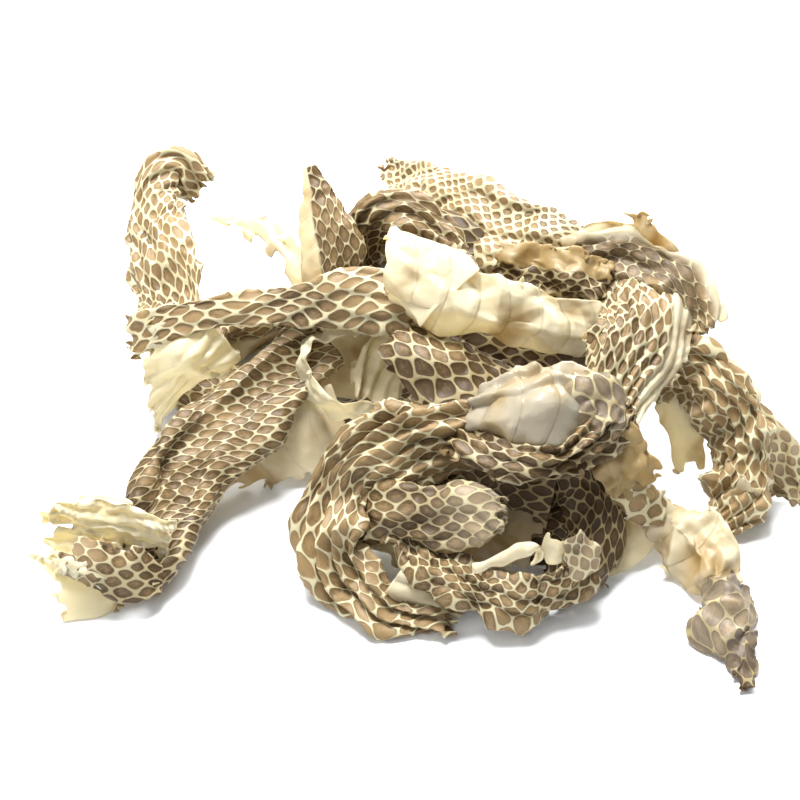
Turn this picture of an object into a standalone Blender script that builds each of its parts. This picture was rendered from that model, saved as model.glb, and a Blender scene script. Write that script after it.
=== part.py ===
"""A snake's shed skin, dry and torn, crumpled into one loose heap.

The slough is one natural piece.  It is built as runs of skin: each run is a
strip that follows a route through the heap, curls about that route and has a
few sharp creases.  The runs overlap where the skin doubles over itself, and a
Boolean union makes them one closed solid that lies on the floor.
"""
import math
from collections import namedtuple

import bmesh
import bpy
import numpy as np

MM = 0.001

OBJECT_NAME = "shed_skin"
PART_COLLECTION = "Shed snake skin"
RUN_COLLECTION = "Runs of skin"

# Driving dimensions, in millimetres.
FILM = 0.8                # wall of the solid; the real film is about 0.1
STEP_ALONG = 9.2          # spacing of the cross-sections along a run
STEP_ACROSS = 6.4         # spacing of the points across a run
WRINKLE_LONG = 22.0       # spacing of the wrinkles that cross a run
WRINKLE_WIDE = 17.0       # spacing of the pleats that run along it
PLEAT_DRIFT = 55.0        # length along which the pleats move over by one spacing
WAVER = 0.3               # how far the crossing wrinkles waver, in spacings
WAVER_LENGTH = 6.0        # width of skin over which they waver by a radian
FLOOR_DEPTH = -0.1        # lowest the middle of the wall is pressed, then cut flat
LEAST_HEIGHT = 0.5        # height that the flattest cross-section keeps
FLOOR_SNAP = 0.06         # points this near the floor lie flat on it
TOOTH = 7.0               # width of a tooth on a torn edge
BLOCK = 300.0             # side of the block that cuts the base flat
TRIANGLE_BUDGET = 9800
HEAP_CENTRE = (3.7, 1.0)  # middle of the heap in the routes' numbers

# How far each run's pattern is shifted against the last run's, in spacings.
CROSSING_SHIFT = 0.37
PLEAT_SHIFT = 0.61
TOOTH_SHIFT = 0.29

# Rolls are counted from this direction, up and to the front of the heap.
FRONT_UP = np.array((0.0, -0.77, 0.64))

SKIN_COLOUR = (0.60, 0.46, 0.29, 1.0)
SKIN_ROUGHNESS = 0.42
SHARP_ANGLE = 40.0        # degrees between faces from which an edge is sharp

# One place on a run's route: position, roll in degrees, width of the skin
# laid flat, and curl, the angle that the skin turns through from edge to
# edge (positive when the edges fall away from the side that faces out).
Station = namedtuple("Station", "x y z roll width curl")
# A crease along a run: its place across the width (0 to 1), its angle in
# degrees and the share of the width over which it turns.
Crease = namedtuple("Crease", "place angle softness", defaults=(0.12,))
# A run of skin: crumple is the height of its wrinkles, and torn is how far
# the teeth stand out at its first and last edge.
Run = namedtuple("Run", "stations creases crumple torn", defaults=((), 0.7, (0.0, 0.0)))

# The two round edges of a flattened tube, which is open along its far side.
TUBE = (Crease(0.27, 118, 0.24), Crease(0.73, 118, 0.24))


def stations(*rows):
    """Turn rows of six numbers into the stations of a run."""
    return tuple(Station(*row) for row in rows)


RUNS = {
    # The back left arm stands up from the fold and hooks over at its end.
    "upper_left_arm": Run(stations(
        (-67, 17, 26, 0, 34, 50),
        (-66, 30, 28, -5, 42, 50),
        (-69, 43, 31, -10, 42, 50),
        (-72, 55, 36, -10, 40, 50),
        (-71, 65, 40, 0, 36, 50),
        (-66, 71, 40, 10, 30, 50),
        (-61, 70, 35, 20, 24, 50)), TUBE, 0.9, (0.0, 2.5)),
    # A flattened tube crosses the left half from the fold to the middle.
    "cross_tube": Run(stations(
        (-75, 14, 27, -20, 24, 30),
        (-68, 12, 32, -8, 23, 40),
        (-54, 12, 36, 0, 21, 50),
        (-38, 11, 39, 0, 24, 50),
        (-21, 10, 41, 0, 33, 50),
        (-6, 9, 42, 0, 44, 50),
        (8, 14, 37, 0, 46, 50)), TUBE, 0.5),
    # Pale belly skin hangs from the left half of the tube to a torn point.
    "hanging_belly": Run(stations(
        (-54, 11, 35, 0, 25, 20),
        (-57, 8, 27, 0, 20, 30),
        (-62, 6, 17, -10, 13, 30),
        (-66, 6, 6, -10, 5, 20)), (Crease(0.4, 30),), 0.9, (0.0, 3.0)),
    # The front left arm runs down to the floor, with one long crease.
    "lower_left_arm": Run(stations(
        (-25, 11, 30, 0, 42, 10),
        (-38, -1, 25, 10, 46, 10),
        (-50, -12, 19, 15, 48, 10),
        (-60, -24, 14, 10, 48, 10),
        (-66, -38, 10, 0, 45, 10),
        (-69, -52, 7, 0, 35, 10)), TUBE + (Crease(0.56, 30),), 0.6, (0.0, 2.0)),
    # Its torn end folds out to the left and stands up crumpled.
    "torn_end": Run(stations(
        (-62, -44, 7, 0, 22, 40),
        (-70, -45, 11, 10, 25, -30),
        (-79, -44, 12, 10, 25, -40),
        (-87, -41, 9, 0, 21, -20)), (Crease(0.5, -35),), 1.3, (0.0, 4.0)),
    "end_belly": Run(stations(
        (-67, -51, 4, 0, 10, 40),
        (-76, -54, 5, 0, 14, 40),
        (-85, -56, 4, 0, 14, 20)), (), 0.6, (0.0, 1.5)),
    # Belly skin lies under the front left arm.
    "under_belly": Run(stations(
        (-20, -4, 15, 0, 22, 40),
        (-32, -7, 12, 0, 24, 40),
        (-42, -10, 9, -10, 20, 50),
        (-50, -13, 5, -10, 12, 40)), (), 1.0, (0.0, 2.5)),
    # A short open tube looks forward like a mouth.
    "mouth_ring": Run(stations(
        (-4, 8, 33, 85, 14, 20),
        (-18, 12, 32, 88, 13, 20),
        (-28, 10, 27, 95, 13, 20),
        (-29, 2, 22, 90, 14, 25),
        (-20, -5, 18, 80, 15, 30),
        (-8, -8, 19, 80, 14, 25),
        (1, -5, 23, 85, 13, 20),
        (4, 2, 29, 90, 12, 20))),
    "mouth_fan": Run(stations(
        (-14, 0, 17, 0, 12, -40),
        (-11, 8, 21, 0, 15, -50),
        (-6, 15, 27, 0, 16, -40))),
    # The middle is a bright band of belly scutes, torn at its left end.
    "centre_belly": Run(stations(
        (-9, 9, 48, 10, 27, 30),
        (1, 3, 49, 10, 22, 50),
        (14, -2, 47, 5, 20, 60),
        (28, -3, 44, 0, 19, 60),
        (42, 1, 37, 0, 18, 60)), (Crease(0.55, 30),)),
    # Big side scales wrap down under that band.
    "side_scales": Run(stations(
        (-5, 2, 40, -35, 18, 60),
        (4, -8, 37, -30, 24, 70),
        (15, -15, 33, -30, 25, 80),
        (26, -20, 28, -30, 22, 80)), (), 0.6),
    # A glossy folded piece stands proud of the front.
    "pearl_fold": Run(stations(
        (10, -24, 36, -25, 22, 60),
        (19, -30, 43, -5, 26, 50),
        (31, -31, 43, 0, 27, 50),
        (43, -24, 37, 20, 22, 60)), (Crease(0.45, 30),)),
    "pearl_rim": Run(stations(
        (6, -28, 33, -30, 14, 90),
        (17, -38, 35, -20, 14, 110),
        (28, -40, 35, -10, 14, 110),
        (40, -36, 35, 10, 14, 110),
        (48, -24, 36, 20, 14, 90))),
    # At the top the skin curls over itself, its dark inner side showing.
    "top_curl": Run(stations(
        (-9, 27, 29, 30, 26, 40),
        (-16, 34, 37, 40, 30, 40),
        (-11, 37, 45, 20, 32, 40),
        (1, 33, 47, -20, 32, 40),
        (10, 26, 44, -50, 30, 40),
        (13, 18, 37, -60, 28, 40)), TUBE, 1.0),
    # A wide sheet of small scales slopes down from the back to the right.
    "top_sheet": Run(stations(
        (-11, 80, 36, 0, 14, 20),
        (0, 59, 42, 0, 38, 20),
        (16, 39, 45, 0, 48, 30),
        (30, 25, 45, 0, 52, 40),
        (45, 14, 42, 0, 48, 40)), TUBE, 0.9, (2.0, 0.0)),
    # The right shoulder is badly crumpled.
    "shoulder": Run(stations(
        (32, 18, 38, 0, 38, 50),
        (47, 16, 46, 0, 42, 50),
        (59, 10, 45, 10, 42, 50),
        (67, 2, 36, 30, 34, 50)), TUBE, 1.4),
    # A fan of skin hangs from the shoulder and narrows to the front.
    "fan": Run(stations(
        (50, 15, 45, 0, 36, 90),
        (51, -2, 45, 0, 34, 90),
        (47, -15, 40, 0, 26, 100),
        (42, -27, 33, 0, 15, 100),
        (38, -33, 26, 0, 10, 80)), (Crease(0.7, 40),)),
    # The right arm arches over and comes down to torn tips on the floor.
    "right_arch": Run(stations(
        (44, 2, 27, 0, 32, 30),
        (57, -3, 32, 10, 36, 40),
        (67, -7, 30, 20, 38, 40),
        (74, -12, 23, 30, 38, 40),
        (77, -20, 14, 20, 34, 40),
        (75, -27, 6, 10, 26, 30),
        (73, -32, 2, 0, 14, 20)), TUBE, 1.2, (0.0, 4.0)),
    "side_tail": Run(stations(
        (75, -12, 22, 30, 16, 60),
        (85, -14, 13, 30, 15, 60),
        (91, -16, 5, 20, 12, 60),
        (95, -19, 1, 10, 8, 20)), (), 0.7, (0.0, 2.0)),
    "arch_belly": Run(stations(
        (62, -5, 26, 0, 14, 30),
        (64, -9, 15, 0, 15, 40),
        (62, -15, 3, 0, 12, 30)), (), 0.6, (0.0, 1.5)),
    # The front curl swings round in an arc and comes to rest on the floor.
    "front_curl": Run(stations(
        (24, -22, 27, -20, 34, 30),
        (10, -28, 30, -10, 36, 40),
        (-4, -31, 30, 0, 38, 40),
        (-15, -34, 27, 10, 38, 40),
        (-22, -39, 20, 20, 38, 40),
        (-23, -46, 13, 20, 36, 40),
        (-18, -54, 7, 10, 31, 40),
        (-8, -60, 3, 0, 24, 40),
        (6, -61, 2, 0, 14, 20)), TUBE, 1.1, (0.0, 2.0)),
    "inner_band": Run(stations(
        (-19, -35, 18, -10, 26, 30),
        (-8, -41, 24, 0, 34, 40),
        (4, -45, 27, 0, 36, 40),
        (13, -48, 29, 0, 32, 40),
        (18, -50, 28, 0, 22, 40)), TUBE, 0.8),
    "lower_band": Run(stations(
        (-17, -37, 14, 0, 20, 30),
        (-5, -48, 14, -20, 26, 50),
        (5, -56, 12, -20, 30, 50),
        (17, -60, 10, 0, 30, 50),
        (28, -60, 10, 10, 30, 50),
        (37, -55, 11, 20, 28, 50),
        (40, -49, 17, 30, 20, 50)), TUBE, 1.4, (0.0, 3.0)),
    # A thin sheet closes the back of the hollow inside the front curl.
    "hollow_back": Run(stations(
        (-16, -34, 12, 0, 16, 30),
        (0, -40, 11, 0, 22, 40),
        (16, -42, 12, 0, 24, 40),
        (34, -42, 12, 0, 20, 40)), (Crease(0.5, 30),), 1.0),
    "front_flap": Run(stations(
        (-13, -54, 9, 0, 12, 30),
        (-2, -57, 5, 0, 14, 40),
        (8, -57, 3, 0, 11, 30)), (), 0.6, (0.0, 2.0)),
    # A dark crumpled wall closes the hollow behind the front curl.
    "dark_wall": Run(stations(
        (12, -24, 24, 0, 24, 60),
        (30, -29, 25, 0, 28, 80),
        (42, -33, 21, 10, 28, 100),
        (44, -42, 13, 20, 24, 100),
        (39, -50, 6, 10, 22, 80),
        (29, -55, 2, 0, 14, 50)), (Crease(0.4, 40),)),
    "amber_tears": Run(stations(
        (38, -24, 30, 0, 16, 60),
        (50, -29, 26, 10, 17, 60),
        (57, -36, 17, 20, 12, 40)), (), 1.3, (0.0, 4.0)),
    "right_belly": Run(stations(
        (50, -25, 24, 10, 20, 60),
        (49, -40, 14, 10, 19, 60),
        (43, -52, 3, 0, 12, 30)), (), 0.7, (0.0, 2.0)),
    # A strip of belly skin trails out to the front right.
    "tail_strip": Run(stations(
        (50, -30, 16, 0, 14, 40),
        (61, -43, 13, 0, 17, 50),
        (67, -54, 9, 0, 15, 60),
        (69, -65, 5, 0, 17, 80),
        (71, -73, 4, 0, 11, 60),
        (73, -80, 1, 0, 5, 20)), (Crease(0.5, 40),), 0.9, (0.0, 1.5)),
    # A pointed piece stands up at the back.
    "back_spike": Run(stations(
        (-20, 14, 28, 0, 24, 90),
        (-24, 28, 45, 0, 20, 100),
        (-27, 37, 53, 0, 12, 90),
        (-29, 44, 59, 0, 4, 40)), (), 0.7),
    "back_scutes": Run(stations(
        (-24, 15, 27, 0, 20, 50),
        (-34, 32, 37, 0, 20, 60),
        (-42, 43, 39, 0, 14, 40),
        (-54, 54, 36, 0, 6, 50)), (), 0.8, (0.0, 2.5)),
    # Behind and below, the skin doubles back on the floor.
    "back_loop": Run(stations(
        (-65, 20, 24, -60, 30, 40),
        (-62, 34, 13, -80, 42, 40),
        (-46, 48, 9, -90, 46, 50),
        (-24, 56, 10, -90, 48, 20),
        (2, 62, 12, -90, 50, 0),
        (30, 54, 10, -90, 48, 30),
        (50, 38, 12, -90, 44, 50),
        (52, 16, 28, -70, 38, 50)), TUBE, 1.3),
    "low_run": Run(stations(
        (-60, 14, 15, -20, 18, 60),
        (-52, 16, 6, -45, 28, 50),
        (-30, 20, 2.5, -50, 32, 40),
        (-5, 22, 2.5, -50, 32, 40),
        (20, 8, 4, -50, 32, 50),
        (32, -10, 12, -40, 30, 70),
        (22, -25, 24, 0, 26, 70)), (Crease(0.6, 25),), 0.8),
    "middle_prop": Run(stations(
        (-2, 24, 4, 0, 18, 60),
        (2, 18, 22, 0, 22, 80),
        (6, 15, 40, 0, 20, 80)), (), 0.9),
}


def smooth_route(rows, count):
    """Read count places from a smooth curve through rows of numbers."""
    points = np.array(rows, dtype=float)
    gaps = np.linalg.norm(np.diff(points[:, :3], axis=0), axis=1)
    knots = np.concatenate(([0.0], np.cumsum(gaps)))
    slopes = np.gradient(points, knots, axis=0)
    at = np.linspace(0.0, knots[-1], count)
    cell = np.clip(np.searchsorted(knots, at, side="right") - 1, 0, len(gaps) - 1)
    length = gaps[cell][:, None]
    share = ((at - knots[cell]) / gaps[cell])[:, None]
    square, cube = share ** 2, share ** 3
    return ((2 * cube - 3 * square + 1) * points[cell]
            + (cube - 2 * square + share) * length * slopes[cell]
            + (3 * square - 2 * cube) * points[cell + 1]
            + (cube - square) * length * slopes[cell + 1])


def route_length(rows):
    """Add up the straight distances between a run's stations."""
    points = np.array([row[:3] for row in rows], dtype=float)
    return float(np.linalg.norm(np.diff(points, axis=0), axis=1).sum())


def frame_at(tangent, roll):
    """Give the outward and the sideways direction of a run at one place."""
    tangent = tangent / np.linalg.norm(tangent)
    outward = FRONT_UP - tangent * FRONT_UP.dot(tangent)
    outward = outward / np.linalg.norm(outward)
    sideways = np.cross(tangent, outward)
    turn = math.radians(roll)
    turned = outward * math.cos(turn) + sideways * math.sin(turn)
    return turned, np.cross(tangent, turned)


def fold_wave(turns):
    """A wave of straight slopes between -1 and 1, once each turn."""
    return 1.0 - 4.0 * np.abs(turns - np.floor(turns + 0.5))


def wrinkles(across_mm, along_mm, seed):
    """Height of the wrinkles at a place on a run, between about -1 and 1."""
    sway = WAVER * np.sin(across_mm / WAVER_LENGTH + seed)
    crossing = fold_wave(along_mm / WRINKLE_LONG + sway + CROSSING_SHIFT * seed)
    pleats = fold_wave(across_mm / WRINKLE_WIDE + along_mm / PLEAT_DRIFT + PLEAT_SHIFT * seed)
    return 0.6 * crossing + 0.4 * pleats


def teeth(across_mm, seed):
    """How far the edge of a tear stands out, between 0 and 1."""
    return 0.5 + 0.5 * fold_wave(across_mm / TOOTH + TOOTH_SHIFT * seed)


def section(width, curl, creases, place):
    """Bend a strip of the given width into its cross-section.

    Returns offsets sideways and outwards for each place across it, with the
    strip's middle at the origin, and the heading of the skin there.
    """
    middle = (place[:-1] + place[1:]) / 2.0
    heading = np.radians(curl) * (middle - 0.5)
    for crease in creases:
        turned = np.clip((middle - crease.place) / crease.softness + 0.5, 0.0, 1.0)
        base = np.clip((0.5 - crease.place) / crease.softness + 0.5, 0.0, 1.0)
        heading = heading + math.radians(crease.angle) * (turned - base)
    step = width * np.diff(place)
    across = np.concatenate(([0.0], np.cumsum(np.cos(heading) * step)))
    outward = np.concatenate(([0.0], np.cumsum(-np.sin(heading) * step)))
    across = across - np.interp(0.5, place, across)
    outward = outward - np.interp(0.5, place, outward)
    return across, outward, np.interp(place, middle, heading)


def press_down(row):
    """Flatten a cross-section that would reach below the floor."""
    low, high = row[:, 2].min(), row[:, 2].max()
    if low < FLOOR_DEPTH:
        room = max(high - FLOOR_DEPTH, LEAST_HEIGHT) / max(high - low, LEAST_HEIGHT)
        row[:, 2] = FLOOR_DEPTH + (row[:, 2] - low) * room


def run_grid(run, seed):
    """Work out a run's surface as a grid of points, in metres."""
    length = route_length(run.stations)
    along = max(3, round(length / STEP_ALONG) + 1)
    widest = max(station.width for station in run.stations)
    across = max(4, round(widest / STEP_ACROSS) + 1)
    rows = smooth_route(run.stations, along)
    tangents = np.gradient(rows[:, :3], axis=0)
    place = np.linspace(0.0, 1.0, across)
    grid = np.zeros((along, across, 3))
    for index, row in enumerate(rows):
        width, along_mm = row[4], length * index / (along - 1)
        outward, sideways = frame_at(tangents[index], row[3])
        side, out, heading = section(width, row[5], run.creases, place)
        height = run.crumple * wrinkles(place * width, along_mm, seed)
        side = side + height * np.sin(heading)
        out = out + height * np.cos(heading)
        grid[index] = row[:3] + side[:, None] * sideways + out[:, None] * outward
    for edge, reach, sign in ((0, run.torn[0], -1.0), (-1, run.torn[1], 1.0)):
        onward = tangents[edge] / np.linalg.norm(tangents[edge])
        stand_out = reach * teeth(place * widest, seed)
        grid[edge] += sign * stand_out[:, None] * onward
    grid[:, :, :2] -= HEAP_CENTRE
    for row in grid:
        press_down(row)
    return grid * MM


def grid_mesh(name, grid):
    """Make a quad mesh of a grid of points."""
    along, across = grid.shape[:2]
    faces = []
    for i in range(along - 1):
        for j in range(across - 1):
            corner = i * across + j
            faces.append((corner, corner + 1, corner + across + 1, corner + across))
    mesh = bpy.data.meshes.new(name)
    mesh.from_pydata(grid.reshape(-1, 3).tolist(), [], faces)
    mesh.update()
    return mesh


def make_run(name, run, seed, collection):
    """Make one run of skin as a guide: an open surface with a wall."""
    guide = bpy.data.objects.new(name, grid_mesh(name, run_grid(run, seed)))
    collection.objects.link(guide)
    wall = guide.modifiers.new("Wall", "SOLIDIFY")
    wall.thickness = FILM * MM
    wall.offset = 0.0
    guide.hide_render = True
    guide.display_type = "WIRE"
    return guide


def evaluated_copy(source):
    """Take an object's mesh with its modifiers applied."""
    graph = bpy.context.evaluated_depsgraph_get()
    return bpy.data.meshes.new_from_object(source.evaluated_get(graph))


def floor_block():
    """Make a block whose top is the floor, to cut the runs off flat there."""
    bpy.ops.mesh.primitive_cube_add(size=BLOCK * MM, location=(0, 0, -BLOCK * MM / 2))
    block = bpy.context.object
    block.name = "Floor block"
    block.hide_render = True
    block.display_type = "WIRE"
    return block


def union(name, runs):
    """Join the runs into one closed mesh and cut it off at the floor."""
    whole = bpy.data.objects.new(name, evaluated_copy(runs[0]))
    bpy.context.scene.collection.objects.link(whole)
    steps = [(other, "UNION") for other in runs[1:]]
    steps.append((floor_block(), "DIFFERENCE"))
    for other, operation in steps:
        join = whole.modifiers.new(other.name, "BOOLEAN")
        join.operation = operation
        join.solver = "MANIFOLD"
        join.object = other
    mesh = evaluated_copy(whole)
    bpy.data.objects.remove(whole)
    return mesh


def islands(bm):
    """Split a mesh into its connected sets of faces, the largest first."""
    left = set(bm.faces)
    found = []
    while left:
        seed = left.pop()
        island = {seed}
        edge_of_search = [seed]
        while edge_of_search:
            face = edge_of_search.pop()
            for edge in face.edges:
                for near in edge.link_faces:
                    if near in left:
                        left.remove(near)
                        island.add(near)
                        edge_of_search.append(near)
        found.append(island)
    return sorted(found, key=len, reverse=True)


def settle(mesh):
    """Keep the one outer surface and leave triangles."""
    bm = bmesh.new()
    bm.from_mesh(mesh)
    for island in islands(bm)[1:]:
        bmesh.ops.delete(bm, geom=list(island), context="FACES")
    bmesh.ops.triangulate(bm, faces=bm.faces)
    bm.to_mesh(mesh)
    bm.free()


def thin_out(mesh):
    """Drop the slivers that the joins left, down to the triangle budget."""
    sliver_free = bpy.data.objects.new(mesh.name, mesh)
    bpy.context.scene.collection.objects.link(sliver_free)
    thin = sliver_free.modifiers.new("Thin out", "DECIMATE")
    thin.ratio = min(1.0, TRIANGLE_BUDGET / len(mesh.polygons))
    thinned = evaluated_copy(sliver_free)
    bpy.data.objects.remove(sliver_free)
    for vert in thinned.vertices:
        if vert.co.z < FLOOR_SNAP * MM:
            vert.co.z = 0.0
    return thinned


def skin_material():
    """Dry keratin: tan, with a low gloss."""
    material = bpy.data.materials.new("Dry skin")
    material.use_nodes = True
    shader = material.node_tree.nodes["Principled BSDF"]
    shader.inputs["Base Color"].default_value = SKIN_COLOUR
    shader.inputs["Roughness"].default_value = SKIN_ROUGHNESS
    shader.inputs["Metallic"].default_value = 0.0
    return material


def new_collection(name):
    """Add a collection to the scene."""
    collection = bpy.data.collections.new(name)
    bpy.context.scene.collection.children.link(collection)
    return collection


def main():
    """Build the heap."""
    for old in list(bpy.data.objects):
        bpy.data.objects.remove(old)
    parts = new_collection(PART_COLLECTION)
    guides = new_collection(RUN_COLLECTION)
    runs = [make_run(name, run, seed, guides) for seed, (name, run) in enumerate(RUNS.items())]
    bpy.context.view_layer.update()
    mesh = union(OBJECT_NAME, runs)
    settle(mesh)
    mesh = thin_out(mesh)
    mesh.materials.clear()
    mesh.materials.append(skin_material())
    mesh.shade_smooth()
    mesh.set_sharp_from_angle(angle=math.radians(SHARP_ANGLE))
    skin = bpy.data.objects.new(OBJECT_NAME, mesh)
    parts.objects.link(skin)


main()
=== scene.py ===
"""Dresses the shed snake skin: thin film, raised scale net, belly scutes and torn edges.

The heap is one slough.  It is described as runs of skin, each a strip that
follows a route and curls about it.  Every run is made here again as a thin
film with its own wrinkles, and Geometry Nodes raise the net between its scales,
step its scutes and set the loose scales that stand along its tears.
"""
from __future__ import annotations

import logging
import math
from dataclasses import dataclass, field
from enum import Enum

import bpy
import numpy as np
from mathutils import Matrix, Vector


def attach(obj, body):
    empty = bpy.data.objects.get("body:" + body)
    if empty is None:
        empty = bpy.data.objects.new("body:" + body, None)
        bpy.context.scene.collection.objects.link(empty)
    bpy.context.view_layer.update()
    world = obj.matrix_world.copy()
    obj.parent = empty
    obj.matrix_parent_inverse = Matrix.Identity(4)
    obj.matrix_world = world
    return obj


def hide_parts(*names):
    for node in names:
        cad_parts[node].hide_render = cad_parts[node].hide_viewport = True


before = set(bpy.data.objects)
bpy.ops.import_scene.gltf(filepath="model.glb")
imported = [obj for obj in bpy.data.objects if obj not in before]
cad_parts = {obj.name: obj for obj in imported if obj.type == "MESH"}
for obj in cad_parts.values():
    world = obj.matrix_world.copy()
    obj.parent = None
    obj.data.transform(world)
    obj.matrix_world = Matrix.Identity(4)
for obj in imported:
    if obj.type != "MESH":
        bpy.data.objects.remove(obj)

LOG = logging.getLogger("shed_skin")
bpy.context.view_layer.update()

Tree = bpy.types.NodeTree
Node = bpy.types.Node
Socket = bpy.types.NodeSocket

MM = 0.001
NODE = "shed_skin"
BODY = "root"

# The same numbers as the solid's, lengths in millimetres.
HEAP_CENTRE = (3.7, 1.0)
FRONT_UP = np.array((0.0, -0.77, 0.64))
WRINKLE_LONG = 22.0
WRINKLE_WIDE = 17.0

# The film, in millimetres.
FILM = 0.16              # drawn a little thicker than the real 0.1 so that edges catch light
GRID = 0.52              # spacing of the film's points
LOWEST = 0.25            # height of the film's middle where it lies on the floor
SCUTE = 8.0              # spacing of the belly scutes
SCUTE_BOW = 0.004        # how far a scute's edge bows back, in scutes for each square mm from its middle
SHEAR = 0.8              # how far the facets are pushed sideways
NOTCH = 8.0              # spacing of the deep notches in a tear

# How the film bends and tones.
PLEAT_PEAK = 0.8         # where in a pleat its crest is, so that the pleats lean over
# Painted light and shade: skin is drawn paler on its crests and darker in its hollows.
CREST_PAINTED_LIGHT = 0.10        # how much paler the skin is for each millimetre it stands out
CREASE_WANDER = 0.03     # how far a crease strays, share of the width
CREASE_SHARP = 0.5       # share of a solid crease's softness that the film keeps
CREASE_SWAY = 0.14       # how much a crease's angle varies
LIP_START = 0.86         # where across the run its curled lips start
TIP_START = 0.45         # where along the run its tip's looks start


class Side(Enum):
    """Which side of the animal a run of skin comes from."""

    BACK = "back"
    BELLY = "belly"


class Pattern(Enum):
    """A smooth random pattern: the size of a lump across and along, mm, and its draw."""

    DENT = (12.0, 15.0, 800)
    PLEAT_DRIFT = (13.0, 14.0, 300)
    PLEAT_HEIGHT = (9.0, 16.0, 400)
    SCALE_LENGTH = (10.0, 12.0, 1100)
    SCALE_ROW = (8.0, 11.0, 1200)
    SHADE = (9.0, 11.0, 500)
    NET_WIDTH = (7.0, 9.0, 900)
    TEAR = (5.0, 5.0, 700)

    def at(self, across: np.ndarray, along: np.ndarray, order: int) -> np.ndarray:
        """Give a run's pattern, between -1 and 1.

        Args:
            across: millimetres across the run.
            along: millimetres along it.
            order: the run's number.

        Returns:
            The pattern's value at each place.
        """
        wide, long, draw = self.value
        return lattice_noise(across / wide, along / long, draw + order)


@dataclass(frozen=True)
class Station:
    """One place on a run's route.

    Args:
        x: millimetres to the right.
        y: millimetres to the back.
        z: millimetres up.
        roll: degrees about the route, from FRONT_UP.
        width: millimetres of skin across the run, laid flat.
        curl: degrees that the skin turns through from edge to edge.
    """

    x: float
    y: float
    z: float
    roll: float
    width: float
    curl: float


@dataclass(frozen=True)
class Crease:
    """A fold along a run: its place across, angle and share of the width."""

    place: float
    angle: float
    softness: float = 0.12


TUBE = (Crease(0.27, 118, 0.24), Crease(0.73, 118, 0.24))


def stations(*rows: tuple[float, ...]) -> tuple[Station, ...]:
    """Turn rows of six numbers into the stations of a run."""
    return tuple(Station(*row) for row in rows)


@dataclass(frozen=True)
class Run:
    """A run of skin and how it is crumpled, torn and scaled.

    Args:
        order: its number, which sets its wrinkles; below 40 it is also in the solid.
        route: its stations.
        creases: its folds.
        crumple: height of the large wrinkles, mm.
        torn: how far the skin stands out past its first and last station, mm.
        side: back scales or belly scutes.
        scale: length and row spacing of the back scales, mm.
        pleat: height of the sharp pleats along the run, mm.
        pleats: spacing of those pleats, mm.
        shade: how dark the run is drawn, its own tone with painted light and shade: 0 for pale
            sunlit skin to 1 for dark folded skin in painted shade; below 0 is paler still.
        crinkle: height of the fine crumpling, mm.
        ragged: how far tears eat into the first, last, left and right edge, mm.
        pearl: share of pearly gloss.
        dent: depth of broad dents, mm.
        lip: degrees that the two long edges curl.
        facet: size of the large facets, mm.
        scutes: shares of the width, at the left and the right, that are belly.
        net: how much wider than usual the net between the scales is pulled.
        slant: degrees that the rows of scales turn from the run.
        plates: whether its belly shows the scutes' edges.
        tip: shade and pearly gloss at the far end, if they differ.
        patch: how much the shade varies in patches.
    """

    order: int
    route: tuple[Station, ...]
    creases: tuple[Crease, ...] = ()
    crumple: float = 0.7
    torn: tuple[float, float] = (0.0, 0.0)
    side: Side = Side.BACK
    scale: tuple[float, float] = (5.6, 2.8)
    pleat: float = 0.0
    pleats: float = 5.0
    shade: float = 0.5
    crinkle: float = 1.6
    ragged: tuple[float, float, float, float] = (1.5, 1.5, 1.5, 1.5)
    pearl: float = 0.0
    dent: float = 1.5
    lip: float = 0.0
    facet: float = 8.5
    scutes: tuple[float, float] = (0.0, 0.0)
    net: float = 0.0
    slant: float = 0.0
    plates: bool = True
    tip: tuple[float, float] | None = None
    patch: float = 0.25


def fold_wave(turns: np.ndarray, peak: float = 0.5) -> np.ndarray:
    """A wave of straight slopes between -1 and 1, once each turn.

    Args:
        turns: how many turns of the wave lie before each place.
        peak: where in a turn the crest is; far from 0.5 the folds lean over.

    Returns:
        The height of the wave.
    """
    share = turns + 0.5 - np.floor(turns + 0.5)
    return 2.0 * np.where(share < peak, share / peak, (1.0 - share) / (1.0 - peak)) - 1.0


def smooth_step(low: float, high: float, value: np.ndarray) -> np.ndarray:
    """Rise smoothly from 0 at low to 1 at high."""
    share = np.clip((value - low) / (high - low), 0.0, 1.0)
    return share * share * (3.0 - 2.0 * share)


def corners(table: np.ndarray, col: np.ndarray, row: np.ndarray) -> tuple[np.ndarray, ...]:
    """Read a repeating table at the four corners of each cell.

    Args:
        table: the numbers.
        col: each cell's column.
        row: each cell's row.

    Returns:
        The near, the right, the above and the far corner.
    """
    size = len(table)
    return tuple(table[(row + up) % size, (col + on) % size] for up in (0, 1) for on in (0, 1))


def lattice_noise(across: np.ndarray, along: np.ndarray, seed: int) -> np.ndarray:
    """Smooth noise between -1 and 1, with one lump per unit.

    Args:
        across: first coordinate.
        along: second coordinate.
        seed: picks the pattern.

    Returns:
        The noise at each place.
    """
    table = np.random.default_rng(seed).uniform(-1.0, 1.0, (64, 64))
    col, row = np.floor(across).astype(int), np.floor(along).astype(int)
    du, dv = across - col, along - row
    du, dv = du * du * (3 - 2 * du), dv * dv * (3 - 2 * dv)
    near, right, above, far = corners(table, col, row)
    return (near * (1 - du) + right * du) * (1 - dv) + (above * (1 - du) + far * du) * dv


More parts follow.
